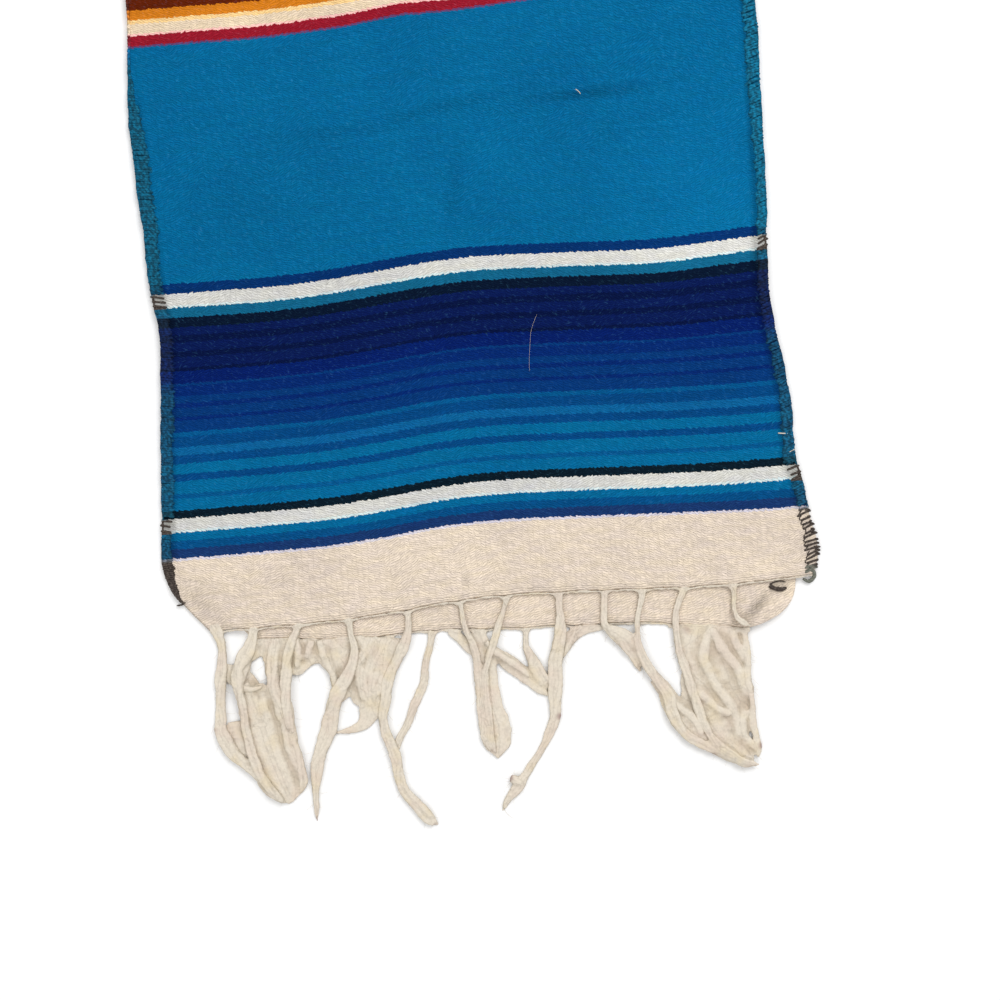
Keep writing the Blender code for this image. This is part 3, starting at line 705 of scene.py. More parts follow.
# A band of 0 yarns is a felted sheet, of 1 a ridge or a thread, of up to 4 a lock, and of more
# a sheet with its yarns still showing. Its route's columns are X across, the drop below the
# upper end's mean line, and the width.
Band = namedtuple("Band", "yarns route")
UPPER_BANDS_MM = [Band(*row) for row in (
    (3, ((-149.4, -1, 8.4), (-147.6, 5, 7), (-146.4, 10, 6), (-146.2, 17, 5.6), (-147.3, 24.5, 7),
         (-148.6, 33, 7), (-149.6, 42, 6), (-149.6, 49.5, 6.5), (-150.3, 55.8, 8), (-148.1, 62, 9),
         (-143.8, 69.5, 8), (-137.5, 75.8, 7.2), (-132.6, 81.4, 7.2), (-128, 87.4, 7),
         (-123.4, 93.8, 6.2), (-119, 98, 4.4))),
    (2, ((-127.8, 1.4, 4.6), (-128, 5, 5), (-130.5, 12, 7.4), (-134, 19, 10), (-137.2, 26, 10.4),
         (-138.6, 32, 8.4), (-137.8, 40, 6.6), (-136.8, 52, 6), (-135.6, 64, 6), (-132.6, 76, 5.8),
         (-128.4, 86, 5.4), (-122.6, 95, 4))),
    (3, ((-103.4, 2, 4.6), (-104.4, 5.6, 5), (-106.6, 10, 5.6), (-110, 17, 6.6), (-112.4, 27, 7),
         (-113.6, 38, 7), (-113.6, 50, 6.4), (-112.6, 62, 5))),
    (3, ((-77, 1, 4.4), (-76.6, 10, 4.4), (-75, 20, 5), (-76.5, 27, 6.5), (-81, 35, 8), (-86, 42, 9),
         (-89.8, 50, 9), (-92.4, 60, 9.5), (-97, 70, 8.6), (-100.4, 79, 8), (-102.4, 90, 5.4),
         (-102.9, 101, 4), (-103.4, 110, 2.4))),
    (3, ((-44.4, 1.4, 4.4), (-45, 8, 4.8), (-46.6, 15, 6), (-51, 24, 7.6), (-56.6, 33, 7.2),
         (-59.8, 42, 7.2), (-61.4, 49.5, 7), (-63.4, 55.4, 6.4), (-63.6, 60, 6.2), (-62, 67, 6.2),
         (-60, 73, 6.6), (-58.2, 79.5, 7), (-57.5, 89.5, 6.2), (-55, 98, 6.5), (-50, 104.5, 7.5),
         (-45, 110.8, 8), (-41.3, 115, 6.4), (-38.8, 117, 4))),
    (3, ((-16.6, 0, 3.4), (-16, 7, 3.4), (-14.6, 15, 4), (-12, 21.5, 5), (-10.6, 30, 5.4),
         (-10.4, 42, 5.2), (-10.6, 55, 5), (-10.6, 66, 4.8), (-9.6, 75, 4.2), (-7.4, 81.5, 3.2))),
    (3, ((9.1, -0.5, 3.4), (5.9, 6.8, 3.6), (3.6, 12.3, 4.5), (1.4, 17.7, 5), (-1.2, 24, 5),
         (-4.5, 31.4, 4.6), (-6.4, 40.5, 4.6), (-7.3, 49.5, 4.6), (-6.8, 58.6, 4.8), (-6.8, 67.7, 4.6),
         (-6.4, 75, 4.2), (-4.5, 82.3, 3))),
    (3, ((36.6, 0, 4.8), (36.2, 10, 4.8), (36, 17.7, 7), (33.7, 27, 8), (31.2, 39, 8.8),
         (29.9, 49, 9.2), (29.8, 57.9, 7.8), (28.5, 65.6, 6.8), (25.4, 72.5, 5.8), (20.8, 81, 4.8),
         (16.1, 87.2, 4.8), (10.7, 94.1, 5.4), (4.8, 101.1, 7.2), (-0.8, 107.2, 4.8),
         (-4.3, 113.4, 2.8))),
    (1, ((7.4, 99, 3.8), (4.4, 97, 5.6), (1.4, 95.8, 7.4), (-1.2, 95, 7), (-2.6, 94.4, 5))),
    (2, ((61.6, 1, 4.4), (60, 11, 4.6), (59.4, 18, 5), (63.2, 24, 6), (68.6, 30, 6.6), (73.6, 37, 5.6),
         (76.6, 46, 4.6))),
    (0, ((62, 21, 5), (67, 24, 7.6), (72, 28, 8.4), (75.6, 34, 7), (77.4, 41, 5))),
    (3, ((81.9, 1.4, 4.6), (80, 8.3, 4), (77.5, 17, 3.6), (76.5, 27, 4), (77.8, 35.8, 5),
         (81.3, 44.5, 6), (86.3, 52, 7), (90.2, 59.5, 7.8), (90.4, 66, 7.6), (92.8, 74, 7.4),
         (98.2, 81.4, 7), (105.6, 87, 6.4), (113.6, 91.4, 6), (121, 95.6, 6), (128.4, 99.6, 5.4),
         (134, 101, 4.4))),
    (3, ((104.8, 2, 5), (102.8, 6, 4.6), (100.6, 10, 4.4), (98.1, 17, 4.4), (97.5, 25.8, 5),
         (98.1, 35.8, 5), (100.6, 45.8, 6), (102.5, 57, 6.5), (105, 67, 6.5), (108, 77, 6),
         (112.5, 85.8, 5.5), (118.8, 92, 5), (127.5, 98.3, 4.6), (135, 100.8, 4))),
    (2, ((130.4, 2, 4.6), (130.4, 5, 4), (130, 10.8, 3.6), (129, 17, 3.6), (130.6, 22, 4),
         (135, 25.1, 4), (137.5, 27, 3))),
)]
LOWER_BANDS_MM = [Band(*row) for row in (
    (0, ((-147, 24, 8), (-142, 27, 12), (-137, 30, 12), (-131.5, 34.4, 9), (-127, 39, 6))),
    (0, ((-142, 52, 9), (-142.2, 57, 13), (-140, 64, 14), (-136.6, 72, 12), (-133.6, 80, 9))),
    (0, ((-128.6, 8.8, 9), (-129, 13, 11), (-130, 17, 11), (-131.6, 20.6, 9))),
    (0, ((-122.4, 9.2, 9), (-122.4, 16, 7), (-121.6, 24, 6), (-121.8, 31, 9))),
    (0, ((-112.6, 10, 9), (-114, 20, 9), (-115.4, 30, 8.4), (-116.6, 40, 7))),
    (0, ((-128.6, 8.8, 6), (-131.4, 15, 7.4), (-134.4, 21, 8.4), (-136, 28, 8), (-134.6, 35, 11),
         (-131.6, 42, 16))),
    (0, ((-132, 34, 13), (-130.6, 40, 19), (-129.4, 48, 21), (-127.8, 56, 23.4), (-126, 64, 25),
         (-123.6, 72, 27.4), (-121.2, 80, 29), (-119.4, 87, 25.6), (-118, 92.4, 20),
         (-117.4, 96.4, 13), (-117.4, 98.6, 7))),
    (0, ((-135, 32, 4), (-133.4, 40, 7), (-131.6, 50, 8.6), (-130.4, 60, 8), (-128, 72, 9),
         (-124, 84, 8), (-119.6, 93, 5))),
    (0, ((-127, 42, 4), (-125.6, 50, 6), (-124.2, 60, 7.4), (-121.8, 72, 7), (-118.2, 84, 6),
         (-115.6, 92, 4))),
    (3, ((-117, 9.8, 5.4), (-118.8, 17, 6), (-120, 24.5, 6.8), (-119.4, 33, 8.4), (-116.3, 44.5, 10.6),
         (-114.4, 57, 9.6), (-112.8, 67, 8.4), (-110.3, 79.5, 7.2), (-108.8, 87, 6.4),
         (-110.6, 94, 4.4))),
    (1, ((-141, 33, 3.6), (-133, 35.4, 3.6), (-125, 34.4, 3.4), (-121, 31, 3))),
    (0, ((-108.8, 10, 9), (-107.4, 18, 9), (-107.2, 25, 8.4), (-107.2, 30.4, 5.6))),
    (0, ((-110.6, 28, 4.6), (-105.6, 28.4, 5.6), (-101.6, 25.6, 5), (-97, 23.6, 4.6), (-92, 24.4, 5),
         (-88, 29, 5), (-86.6, 34, 4.4))),
    (1, ((-105.8, 11, 4), (-105.4, 18, 4.4), (-106.2, 24, 4), (-107, 29, 3))),
    (0, ((-100, 11.2, 10), (-99.6, 17, 10.4), (-98.8, 22, 10), (-97.8, 25.4, 6.6))),
    (1, ((-97.6, 12.6, 4), (-99.8, 18, 4.4), (-101.6, 24, 4))),
    (0, ((-91.4, 12.4, 10), (-91.4, 18, 10.6), (-90.8, 23.6, 9.4), (-88.8, 28.6, 6.4),
         (-86.8, 33.6, 4.6))),
    (1, ((-93.4, 13, 4), (-92.4, 20, 4.4), (-90, 27, 4.4), (-87.6, 34, 4.2), (-87.4, 41, 4))),
    (0, ((-86, 13, 12), (-84.6, 24, 12), (-83.8, 33, 12.6), (-85, 42, 11), (-88, 48, 8))),
    (0, ((-65.4, 14, 42), (-66.6, 22, 37), (-68.6, 29.3, 31), (-70, 37, 26), (-70.4, 43, 21.6),
         (-69.6, 48.6, 16), (-68.4, 52.4, 9))),
    (0, ((-68, 45, 12), (-69.6, 51, 13), (-71.4, 56.4, 11), (-75, 60.4, 7), (-79.6, 62.2, 4.6),
         (-84, 62.8, 3.4), (-89, 63.2, 3))),
    (6, ((-63, 14.4, 27), (-65, 24, 24), (-67.8, 34, 19), (-69, 43, 13), (-69.4, 50, 8))),
    (2, ((-66, 14.4, 5), (-70.5, 21.5, 5), (-75, 27, 5), (-80, 33.6, 5), (-85, 39.6, 5))),
    (3, ((-32.5, 13.4, 5), (-34.4, 20.8, 4.6), (-38, 30.8, 5), (-40, 40.8, 5.6), (-45, 50.8, 5.8),
         (-50.6, 62, 5.2), (-56.3, 70.8, 4.6), (-58.4, 78, 4))),
    (0, ((-24, 15, 4), (-19.4, 18, 5.6), (-15, 23.4, 6.4), (-12, 29.4, 5))),
    (0, ((-9.5, 15.5, 6), (-7.5, 25, 10.5), (-6.6, 36, 12.6), (-6.8, 46, 13), (-6.2, 57.7, 13.8),
         (-4.5, 66, 17.2), (-3.7, 76.8, 15), (-3.7, 82, 9.5), (-3.9, 85, 4.5))),
    (0, ((-2.5, 30, 5), (-2.2, 45, 5.4), (-1.6, 57, 7), (0.2, 67, 9), (-0.4, 77, 7.6), (-2.6, 83, 5))),
    (0, ((-6.5, 15.4, 3.4), (-4.4, 22, 4.2), (0.2, 28.4, 7), (6.2, 34.2, 9.4), (12, 39.6, 9.6),
         (17.6, 45, 8), (22.6, 50.5, 6.4), (26.4, 54, 4.6))),
    (1, ((-4.6, 22, 3.4), (0.8, 28.6, 4), (7, 33.6, 4.4), (13, 38.6, 4.4), (19, 45, 3.6))),
    (2, ((17.9, 16.4, 4.2), (16.8, 22, 4), (16.6, 27, 4.8), (18.2, 31.4, 7), (20.2, 36, 8.2),
         (22.4, 41, 7.4), (24.6, 45.4, 7), (27, 50, 5))),
    (0, ((33.6, 34, 5), (37, 28.6, 7.6), (41.6, 23.6, 8.4), (48, 20.6, 6.4), (56, 20.2, 4.4),
         (63, 20.6, 2.6))),
    (2, ((47.4, 18.6, 4), (42.6, 23.6, 5), (38, 29, 5), (34.8, 35, 4.6))),
    (0, ((118, 24, 38), (116, 32, 38.6), (116.5, 42, 39), (116.5, 60, 39), (117.4, 74, 37),
         (119.8, 84, 30), (123.6, 91, 20), (128, 96.2, 13), (131.6, 100.6, 8))),
    (0, ((83, 50, 6), (88, 56, 9), (91.4, 64, 12), (96.4, 72, 13), (103.6, 79, 11), (112.6, 86, 9),
         (121.6, 92.6, 7), (129.5, 98.4, 5))),
    (1, ((116.5, 25, 5.4), (112, 35.5, 6.2), (110.6, 42, 6.4), (113.8, 50.8, 6.2), (117.5, 59.5, 6.2),
         (122.5, 67, 6), (125, 74.5, 5.4), (125.6, 82, 5.2), (126.6, 90, 5))),
    (1, ((117, 27, 5.4), (121, 37, 6.2), (125, 43, 6.6), (129.6, 51, 6.4), (130.6, 59, 6),
         (134.6, 66, 5.2))),
    (1, ((128, 28, 5), (129, 35, 5.4), (132, 43, 5.4), (134, 51, 5))),
    (1, ((131, 71.5, 4.6), (128, 77.5, 5), (128.6, 84.5, 5), (132.5, 91, 4.6), (134, 97, 4))),
    (1, ((101.5, 58, 4.6), (109, 62, 5), (115.6, 69, 5), (124, 74.4, 4.4))),
    (1, ((88, 59.5, 5), (94.4, 65.8, 5.4), (102.4, 73.4, 5.4), (106.6, 84.5, 4.4))),
    (1, ((134, 28, 4), (134.4, 42, 4.4), (133.4, 55, 4), (134.4, 67, 4), (134, 80, 4.4),
         (135.4, 90, 4.6), (134.6, 98, 4))),
)]
YARN_STEP = 0.0011
SHEET_YARNS = 4             # a band of more yarns than this lies flat, side by side
SHEET_HEIGHT = 0.0015
LOCK_BODY = 0.90            # the felted body of a lock, as a share of its width
LOCK_HEIGHT = 0.25
LOCK_TURN = 0.120           # a lock's yarns turn once round each other in this length
LOCK_RISE = 0.06            # and rise and fall by this share of its width
LOCK_YARN = 0.22            # a yarn's radius, as a share of its lock's width
SHEET_YARN = 0.52           # and as a share of its place in a sheet
RIDGE_YARN = 0.46           # and a ridge's, of its own width
BODY_SUNK = 0.0011          # how far a body is felted into what it lies on
YARN_STAND = 0.00055        # how far a lock's yarn stands out of its body
RIDGE_STAND = 0.00150       # and a ridge out of its sheet
YARN_FLATNESS = 0.62
BODY_WAVE = ((0.019, 0.008), 0.05)      # each wave's slow and quick lengths, and its height
ABREAST_WAVE = ((0.050, 0.021), 0.32)
TWIST_WAVE = ((0.045, 0.020), 0.8)
YARN_WAVE = ((0.024, 0.011), 0.10)
BODY_TAPER = 0.005          # bodies and yarns thin over this much of their ends
YARN_TAPER = 0.004
YARN_TIP = 0.0004
END_SPREAD = 0.005          # a band's yarns end unevenly
ROOT_STEP = 0.0002          # and are tied in one above another
PILE_REACH = 0.0008         # a yarn rests on what lies within this of it
PILE_ROWS = 9
PILE_CORE = 0.6             # and carries later ones on this share of its width
FUZZ = ((260.0, 0.00028), (700.0, 0.00021))     # bumps for each metre, and their height
ROOT_RUN = 0.006
ROOT_REACH = 0.007          # a band that starts nearer its cloth's end than this is rooted in it
HEADER_YARN = 0.00056
HEADER_ROWS = 260
HEADER_DEPTH = 0.0028
HEADER_STRANDS = (0.00020, 0.00105)     # how far out from the cloth's end each lies
HITCH_RADIUS = 0.00085      # a hitch of the warp round the header, at each root
HITCH_POINTS = 9
HITCH_OUT = 0.0014          # its middle, out from the cloth's end and up
HITCH_UP = 0.0006
HITCH_ARCH = (0.0024, 0.0005, 0.0011)   # its half length across, its slant, and its fall
HEADER_RIPPLE = ((0.013, 0.006), 0.00022)
HEADER_WAVE = ((0.009, 0.004), 0.16)
HEADER_SWELL = 0.75         # the lower header grows thicker by this share,
HEADER_SWELL_FROM = 0.095   # from here to its right end
HEADER_SWELL_RUN = 0.012
NO_SWELL = 1.0              # past the cloth's side
LEDGE_RUN = 0.012           # past the lower layer, the upper locks come down to the floor
LEDGE_START = 0.0012
LOCK_REACH = 0.0070
BED_CLEAR = 0.00035
WEB_YARN = 0.00042          # a felted bridge between two yarns
WEBS = 24
WEB_REACH = (0.0022, 0.0062)
WEB_SAG = 0.0004
WEB_POINTS = 7
WEB_CLEAR = 0.0008          # and its middle stays this far off the floor
SKIN_CLEAR = 0.0002
SHEET_RADIUS = 0.005        # bodies wider than this are sheets, with more sides
SHEET_SIDES = 24
YARN_SIDES = 10
VOXEL = 0.00052
SETTLED = 18                # smoothing passes on the matted surface
Stain = namedtuple("Stain", "across drop radius depth")
STAINS_MM = [Stain(*row) for row in (
    (-0.4, 95.4, 5.6, 1), (-153, 55.5, 3, 0.35), (-103.6, 109, 4, 0.55), (110.6, 93.6, 3.4, 0.6),
    (137.6, 90.8, 3.6, 0.75), (-0.6, 84.5, 3, 0.45), (31.6, 65.4, 3.6, 0.7), (-40.6, 117, 3, 0.3),
    (104, 25.4, 4.6, 0.4),
)]
HOLLOW_BLUR = (1, 2, 2, 1)  # in cells of the pile
HOLLOW_DEPTH = 0.0008

rng = np.random.default_rng(11)
PILE_CELL = 0.001
PILE_CORNER = np.array([-0.20, -0.46])
pile = np.zeros((420, 220))     # how high the locks laid so far stand, by cell


def along_curve(points, step):
    """Distances and rows, evenly spaced on a smooth curve through the points."""
    points = np.array(points, dtype=float)
    reach = np.linalg.norm(np.diff(points[:, :2], axis=0), axis=1)
    reach = np.concatenate([[0.0], np.cumsum(reach)])
    slopes = np.gradient(points, reach, axis=0)
    where = np.linspace(0.0, reach[-1], max(int(reach[-1] / step), 3) + 1)
    return where, smooth_curve(reach, points, slopes, where)


def wave(where, lengths, height):
    """An uneven wave: the sum of a slow and a quick one."""
    slow, quick = lengths
    return height * (np.sin(where * 2 * math.pi / slow * rng.uniform(0.8, 1.2)
                            + rng.uniform(0, 2 * math.pi))
                     + 0.5 * np.sin(where * 2 * math.pi / quick * rng.uniform(0.8, 1.2)
                                    + rng.uniform(0, 2 * math.pi))) / 1.5


def tube(centres, radii, sides, flatness=1.0):
    """Points and faces of a closed tube round a path, pressed flat by its flatness."""
    centres = np.asarray(centres, dtype=float)
    ahead = np.gradient(centres, axis=0)
    ahead /= np.linalg.norm(ahead, axis=1, keepdims=True) + 1e-12
    beside = np.cross(ahead, (0.0, 0.0, 1.0))
    beside /= np.linalg.norm(beside, axis=1, keepdims=True) + 1e-9
    above = np.cross(beside, ahead) * np.reshape(flatness, (-1, 1))
    turn = 2 * math.pi * np.arange(sides) / sides
    ring = (beside[:, None] * np.cos(turn)[None, :, None]
            + above[:, None] * np.sin(turn)[None, :, None])
    points = centres[:, None] + ring * np.asarray(radii)[:, None, None]
    count = len(centres)
    points = np.concatenate([points.reshape(-1, 3), centres[:1], centres[-1:]])
    first, last = count * sides, count * sides + 1
    faces = []
    for row in range(count - 1):
        for side in range(sides):
            after = (side + 1) % sides
            faces.append((row * sides + side, row * sides + after,
                          (row + 1) * sides + after, (row + 1) * sides + side))
    for side in range(sides):
        after = (side + 1) % sides
        faces.append((first, after, side))
        faces.append((last, (count - 1) * sides + side, (count - 1) * sides + after))
    return points, faces


class Strands:
    """Tubes gathered into one mesh, with a place in metres of yarn for each point."""

    def __init__(self):
        self.points, self.faces, self.places, self.count = [], [], [], 0

    def add(self, centres, radii, sides, flatness=1.0):
        points, faces = tube(centres, radii, sides, flatness)
        self.points.append(points)
        self.faces += [tuple(corner + self.count for corner in face) for face in faces]
        self.count += len(points)
        centres = np.asarray(centres)
        along = np.linalg.norm(np.diff(centres, axis=0), axis=1)
        along = np.concatenate([[0.0], np.cumsum(along)]) + rng.uniform(0.0, 1.0)
        around = np.arange(sides) / sides * 2 * math.pi * float(np.mean(radii))
        place = np.stack(np.broadcast_arrays(around[None, :], along[:, None]), -1)
        ends = np.array([[0.0, along[0]], [0.0, along[-1]]])
        self.places.append(np.concatenate([place.reshape(-1, 2), ends]))

    def mesh(self, name):
        made = bpy.data.meshes.new(name)
        made.from_pydata(np.concatenate(self.points), [], self.faces)
        return made

    def place(self):
        return np.concatenate(self.places)


def pile_cells(x, y):
    cell = ((np.stack([x, y], -1) - PILE_CORNER) / PILE_CELL).astype(int)
    return np.clip(cell[..., 0], 0, pile.shape[0] - 1), np.clip(cell[..., 1], 0, pile.shape[1] - 1)


def pile_on(centres, radii, flatness):
    """Notes how high a yarn stands, so that what is laid later lies on it."""
    beside = np.gradient(centres[:, :2], axis=0)[:, ::-1] * (1.0, -1.0)
    beside /= np.linalg.norm(beside, axis=1, keepdims=True) + 1e-9
    for centre, aside, radius, flat in zip(centres, beside, radii, flatness):
        reach = np.arange(-radius, radius + PILE_CELL / 2, PILE_CELL / 2)
        top = centre[2] + flat * np.sqrt(np.maximum(radius**2 - reach**2, 0.0))
        cells = pile_cells(centre[0] + aside[0] * reach, centre[1] + aside[1] * reach)
        np.maximum.at(pile, cells, top)


def pile_height(x, y, radius):
    """How high the locks already laid stand along a path, evened out over some of its rows."""
    tops = [pile[pile_cells(x + dx, y + dy)]
            for dx in (-radius, 0.0, radius) for dy in (-radius, 0.0, radius)]
    top = np.max(tops, axis=0)
    for gather in (np.max, np.mean):
        wide = np.pad(top, PILE_ROWS // 2, mode="edge")
        top = gather([wide[shift:shift + len(top)] for shift in range(PILE_ROWS)], axis=0)
    return top


def lower_bed(x, y):
    return 0.0 * x


def upper_bed(x, y):
    """Height of what carries an upper lock: the lower layer, then its ledge, then floor."""
    past_end = lower_end(x) - PIECE_GAP - HEADER_DEPTH - LEDGE_START - y
    past_side = LOWER_EDGES[0].left - LEDGE_START - x
    ledge = 1.0 - smooth(np.maximum(past_end, past_side) / LEDGE_RUN)
    return (WALL + corner_lift(x + LOCK_REACH, y)) * ledge


def lay(x, y, radius, flatness, lift, sunk, root_height, bed):
    """Heights at which a yarn or a sheet rests on what is under it, from its root on."""
    under = np.maximum(bed(x, y), pile_height(x, y, PILE_REACH) - sunk)
    resting = under + BED_CLEAR + radius * flatness
    if root_height is None:
        return resting + lift
    step = np.hypot(np.gradient(x), np.gradient(y))
    from_root = smooth(np.cumsum(step) / ROOT_RUN)
    return np.maximum(root_height * (1 - from_root) + (resting + lift) * from_root, resting)


def lay_band(band, bed, header, yarns):
    """Lays a band's felted body, and on it its yarns, twisted in a lock, abreast in a sheet."""
    route = [(x * MM, UPPER_END_Y - drop * MM, width * MM) for x, drop, width in band.route]
    where, rows = along_curve(route, YARN_STEP)
    x, y, width = rows.T
    end_y, end_height = header(x[0])
    root_height = end_height if abs(y[0] - end_y) < ROOT_REACH else None
    ahead = np.gradient(rows[:, :2], axis=0)
    ahead /= np.linalg.norm(ahead, axis=1, keepdims=True)
    left = where[-1] - where
    laid = []
    if band.yarns != 1:
        sheet = band.yarns == 0 or band.yarns > SHEET_YARNS
        radius = width / 2 * (1.0 if sheet else LOCK_BODY)
        radius = radius * (1.0 + wave(where, *BODY_WAVE))
        height = np.full(len(x), SHEET_HEIGHT) if sheet else width * LOCK_HEIGHT
        end = np.sqrt(np.clip(left / BODY_TAPER + 0.06, 0.0, 1.0))
        flatness = height / 2 / (radius * end)
        rest = lay(x, y, radius * end, flatness, 0.0, BODY_SUNK, root_height, bed)
        centre = np.stack([x, y, rest], -1)
        laid.append((centre, radius * end, flatness))
        pile_on(*laid[0])
    start_turn = rng.uniform(0, 2 * math.pi)
    for yarn in range(band.yarns):
        lift = 0.0
        if band.yarns == 1:
            radius, off = width * RIDGE_YARN, 0.0 * x
        elif band.yarns > SHEET_YARNS:
            radius = width / band.yarns * SHEET_YARN
            abreast = (2 * yarn + 1) / band.yarns - 1.0 + wave(where, *ABREAST_WAVE)
            off = np.clip(abreast, -1.0, 1.0) * (width / 2 - radius)
        else:
            radius = width * LOCK_YARN
            angle = (start_turn + 2 * math.pi * (where / LOCK_TURN + yarn / band.yarns)
                     + wave(where, *TWIST_WAVE))
            off = np.cos(angle) * (width / 2 - radius)
            lift = np.sin(angle) * width * LOCK_RISE
        radius = radius * (1.0 + wave(where, *YARN_WAVE))
        yarn_left = left - rng.uniform(0.0, END_SPREAD)
        keep = yarn_left > YARN_TIP
        radius = radius * np.sqrt(np.clip(yarn_left / YARN_TAPER, 0.0, 1.0))
        yarn_x, yarn_y = x - ahead[:, 1] * off, y + ahead[:, 0] * off
        yarn_root = root_height
        if root_height is not None:
            yarn_root = root_height + (yarn - (band.yarns - 1) / 2) * ROOT_STEP
        stand = RIDGE_STAND if band.yarns == 1 else YARN_STAND
        sunk = 2 * radius * YARN_FLATNESS + BED_CLEAR - stand
        height = lay(yarn_x, yarn_y, radius, YARN_FLATNESS, lift, sunk, yarn_root, bed)
        centre = np.stack([yarn_x, yarn_y, height], -1)[keep]
        laid.append((centre, radius[keep], np.full(keep.sum(), YARN_FLATNESS)))
    for centres, radii, flatness in laid[0 if band.yarns == 1 else 1:]:
        pile_on(centres, radii * PILE_CORE, flatness)
    yarns += laid


def web_yarns(yarns):
    """Thin felted bridges between neighbouring yarns."""
    webs = []
    yarns = [yarn for yarn in yarns if yarn[1].max() < SHEET_RADIUS]
    centres = np.concatenate([yarn[0][4:] for yarn in yarns])
    owner = np.concatenate([np.full(len(yarn[0][4:]), number) for number, yarn in enumerate(yarns)])
    while len(webs) < WEBS:
        start = rng.integers(len(centres))
        gap = np.linalg.norm(centres - centres[start], axis=1)
        near = np.nonzero((gap > WEB_REACH[0]) & (gap < WEB_REACH[1]) & (owner != owner[start]))[0]
        if len(near) == 0:
            continue
        end = centres[rng.choice(near)]
        share = np.linspace(0.0, 1.0, WEB_POINTS)[:, None]
        path = centres[start] * (1 - share) + end * share
        sag = WEB_SAG * np.sin(share[:, 0] * math.pi)
        path[:, 2] = np.maximum(path[:, 2] - sag, WEB_CLEAR)
        radii = WEB_YARN * (1.5 - np.sin(share[:, 0] * math.pi) * rng.uniform(0.2, 0.6))
        webs.append((path, radii, np.full(WEB_POINTS, YARN_FLATNESS)))
    return webs


def header_yarns(edge_points, roots_mm, thick_from):
    """The header cord's two yarns, and a hitch of the warp round them at each root."""
    made = []
    x = np.linspace(edge_points[0, 0], edge_points[-1, 0], HEADER_ROWS)
    y = np.interp(x, edge_points[:, 0], edge_points[:, 1])
    z = np.interp(x, edge_points[:, 0], edge_points[:, 2])
    thick = 1.0 + HEADER_SWELL * smooth((x - thick_from) / HEADER_SWELL_RUN)
    for out in HEADER_STRANDS:
        ripple = wave(x, *HEADER_RIPPLE)
        swell = thick * (1.0 + wave(x, *HEADER_WAVE))
        made.append((np.stack([x, y - out * thick + ripple, z + ripple], -1),
                     HEADER_YARN * swell, np.full(len(x), YARN_FLATNESS)))
    half, slant, fall = HITCH_ARCH
    for root in roots_mm:
        middle = np.array([root * MM, np.interp(root * MM, x, y) - HITCH_OUT,
                           np.interp(root * MM, x, z) + HITCH_UP])
        turn = np.linspace(-1.0, 1.0, HITCH_POINTS)[:, None]
        arch = np.concatenate([turn * half, turn * slant, -fall * turn**2], axis=1)
        made.append((middle + arch, np.full(HITCH_POINTS, HITCH_RADIUS),
                     np.full(HITCH_POINTS, YARN_FLATNESS)))
    return made


def matted(name, yarns):
    """One skin round all the yarns, as felting leaves them."""
    strands = Strands()
    for centres, radii, flatness in yarns:
        sides = SHEET_SIDES if radii.max() > SHEET_RADIUS else YARN_SIDES
        strands.add(centres, radii, sides, flatness)
    bundle = bpy.data.objects.new(name, strands.mesh(name))
    add_to_scene(bundle)
    skin = bundle.modifiers.new("skin", "REMESH")
    skin.mode = "VOXEL"
    skin.voxel_size = VOXEL
    settle = bundle.modifiers.new("settle", "SMOOTH")
    settle.factor = 0.5
    settle.iterations = SETTLED
    evaluated = bundle.evaluated_get(bpy.context.evaluated_depsgraph_get())
    mesh = bpy.data.meshes.new_from_object(evaluated)
    mesh.name = name
    bpy.data.objects.remove(bundle)
    points = point_vectors(mesh.vertices, "co")
    normals = point_vectors(mesh.vertex_normals, "vector")
    for scale, height in FUZZ:
        bumps = np.array([noise.noise(Vector(point * scale)) for point in points])
        points = points + normals * (bumps * height)[:, None]
    points[:, 2] = np.maximum(points[:, 2], SKIN_CLEAR)
    mesh.vertices.foreach_set("co", points.astype(np.float32).ravel())
    return mesh


def point_vectors(points, field):
    """A vector for each of a mesh's points."""
    vectors = np.empty(len(points) * 3, dtype=np.float32)
    points.foreach_get(field, vectors)
    return vectors.reshape(-1, 3).astype(float)


def yarn_places(mesh, yarns):
    """Each point's place on the yarn that it is nearest to: across it and along it."""
    centres = np.concatenate([yarn[0] for yarn in yarns])
    tree = KDTree(len(centres))
    for number, centre in enumerate(centres):
        tree.insert(centre, number)
    tree.balance()
    ahead = np.concatenate([np.gradient(yarn[0], axis=0) for yarn in yarns])
    ahead /= np.linalg.norm(ahead, axis=1, keepdims=True) + 1e-12
    along = np.concatenate([np.arange(len(yarn[0])) * YARN_STEP + 0.37 * number
                            for number, yarn in enumerate(yarns)])
    points = point_vectors(mesh.vertices, "co")
    near = np.array([tree.find(point)[1] for point in points])
    away = points - centres[near]
    beside = np.cross(ahead[near], (0.0, 0.0, 1.0))
    return np.stack([np.sum(away * beside, axis=1) + away[:, 2],
                     along[near] + np.sum(away * ahead[near], axis=1)], -1)


def add_hollow_shade(mesh):
    """Marks how far each point lies below the fringe round it, from 0 to 1, for the painted shade in
    its hollows.
    """
    points = point_vectors(mesh.vertices, "co")
    cells = pile_cells(points[:, 0], points[:, 1])
    top = np.zeros_like(pile)
    np.maximum.at(top, cells, points[:, 2])
    for shift in HOLLOW_BLUR:
        for axis in (0, 1):
            top = (np.roll(top, shift, axis) + top + np.roll(top, -shift, axis)) / 3
    add_mark(mesh, "hollow", smooth((top[cells] - points[:, 2]) / HOLLOW_DEPTH))


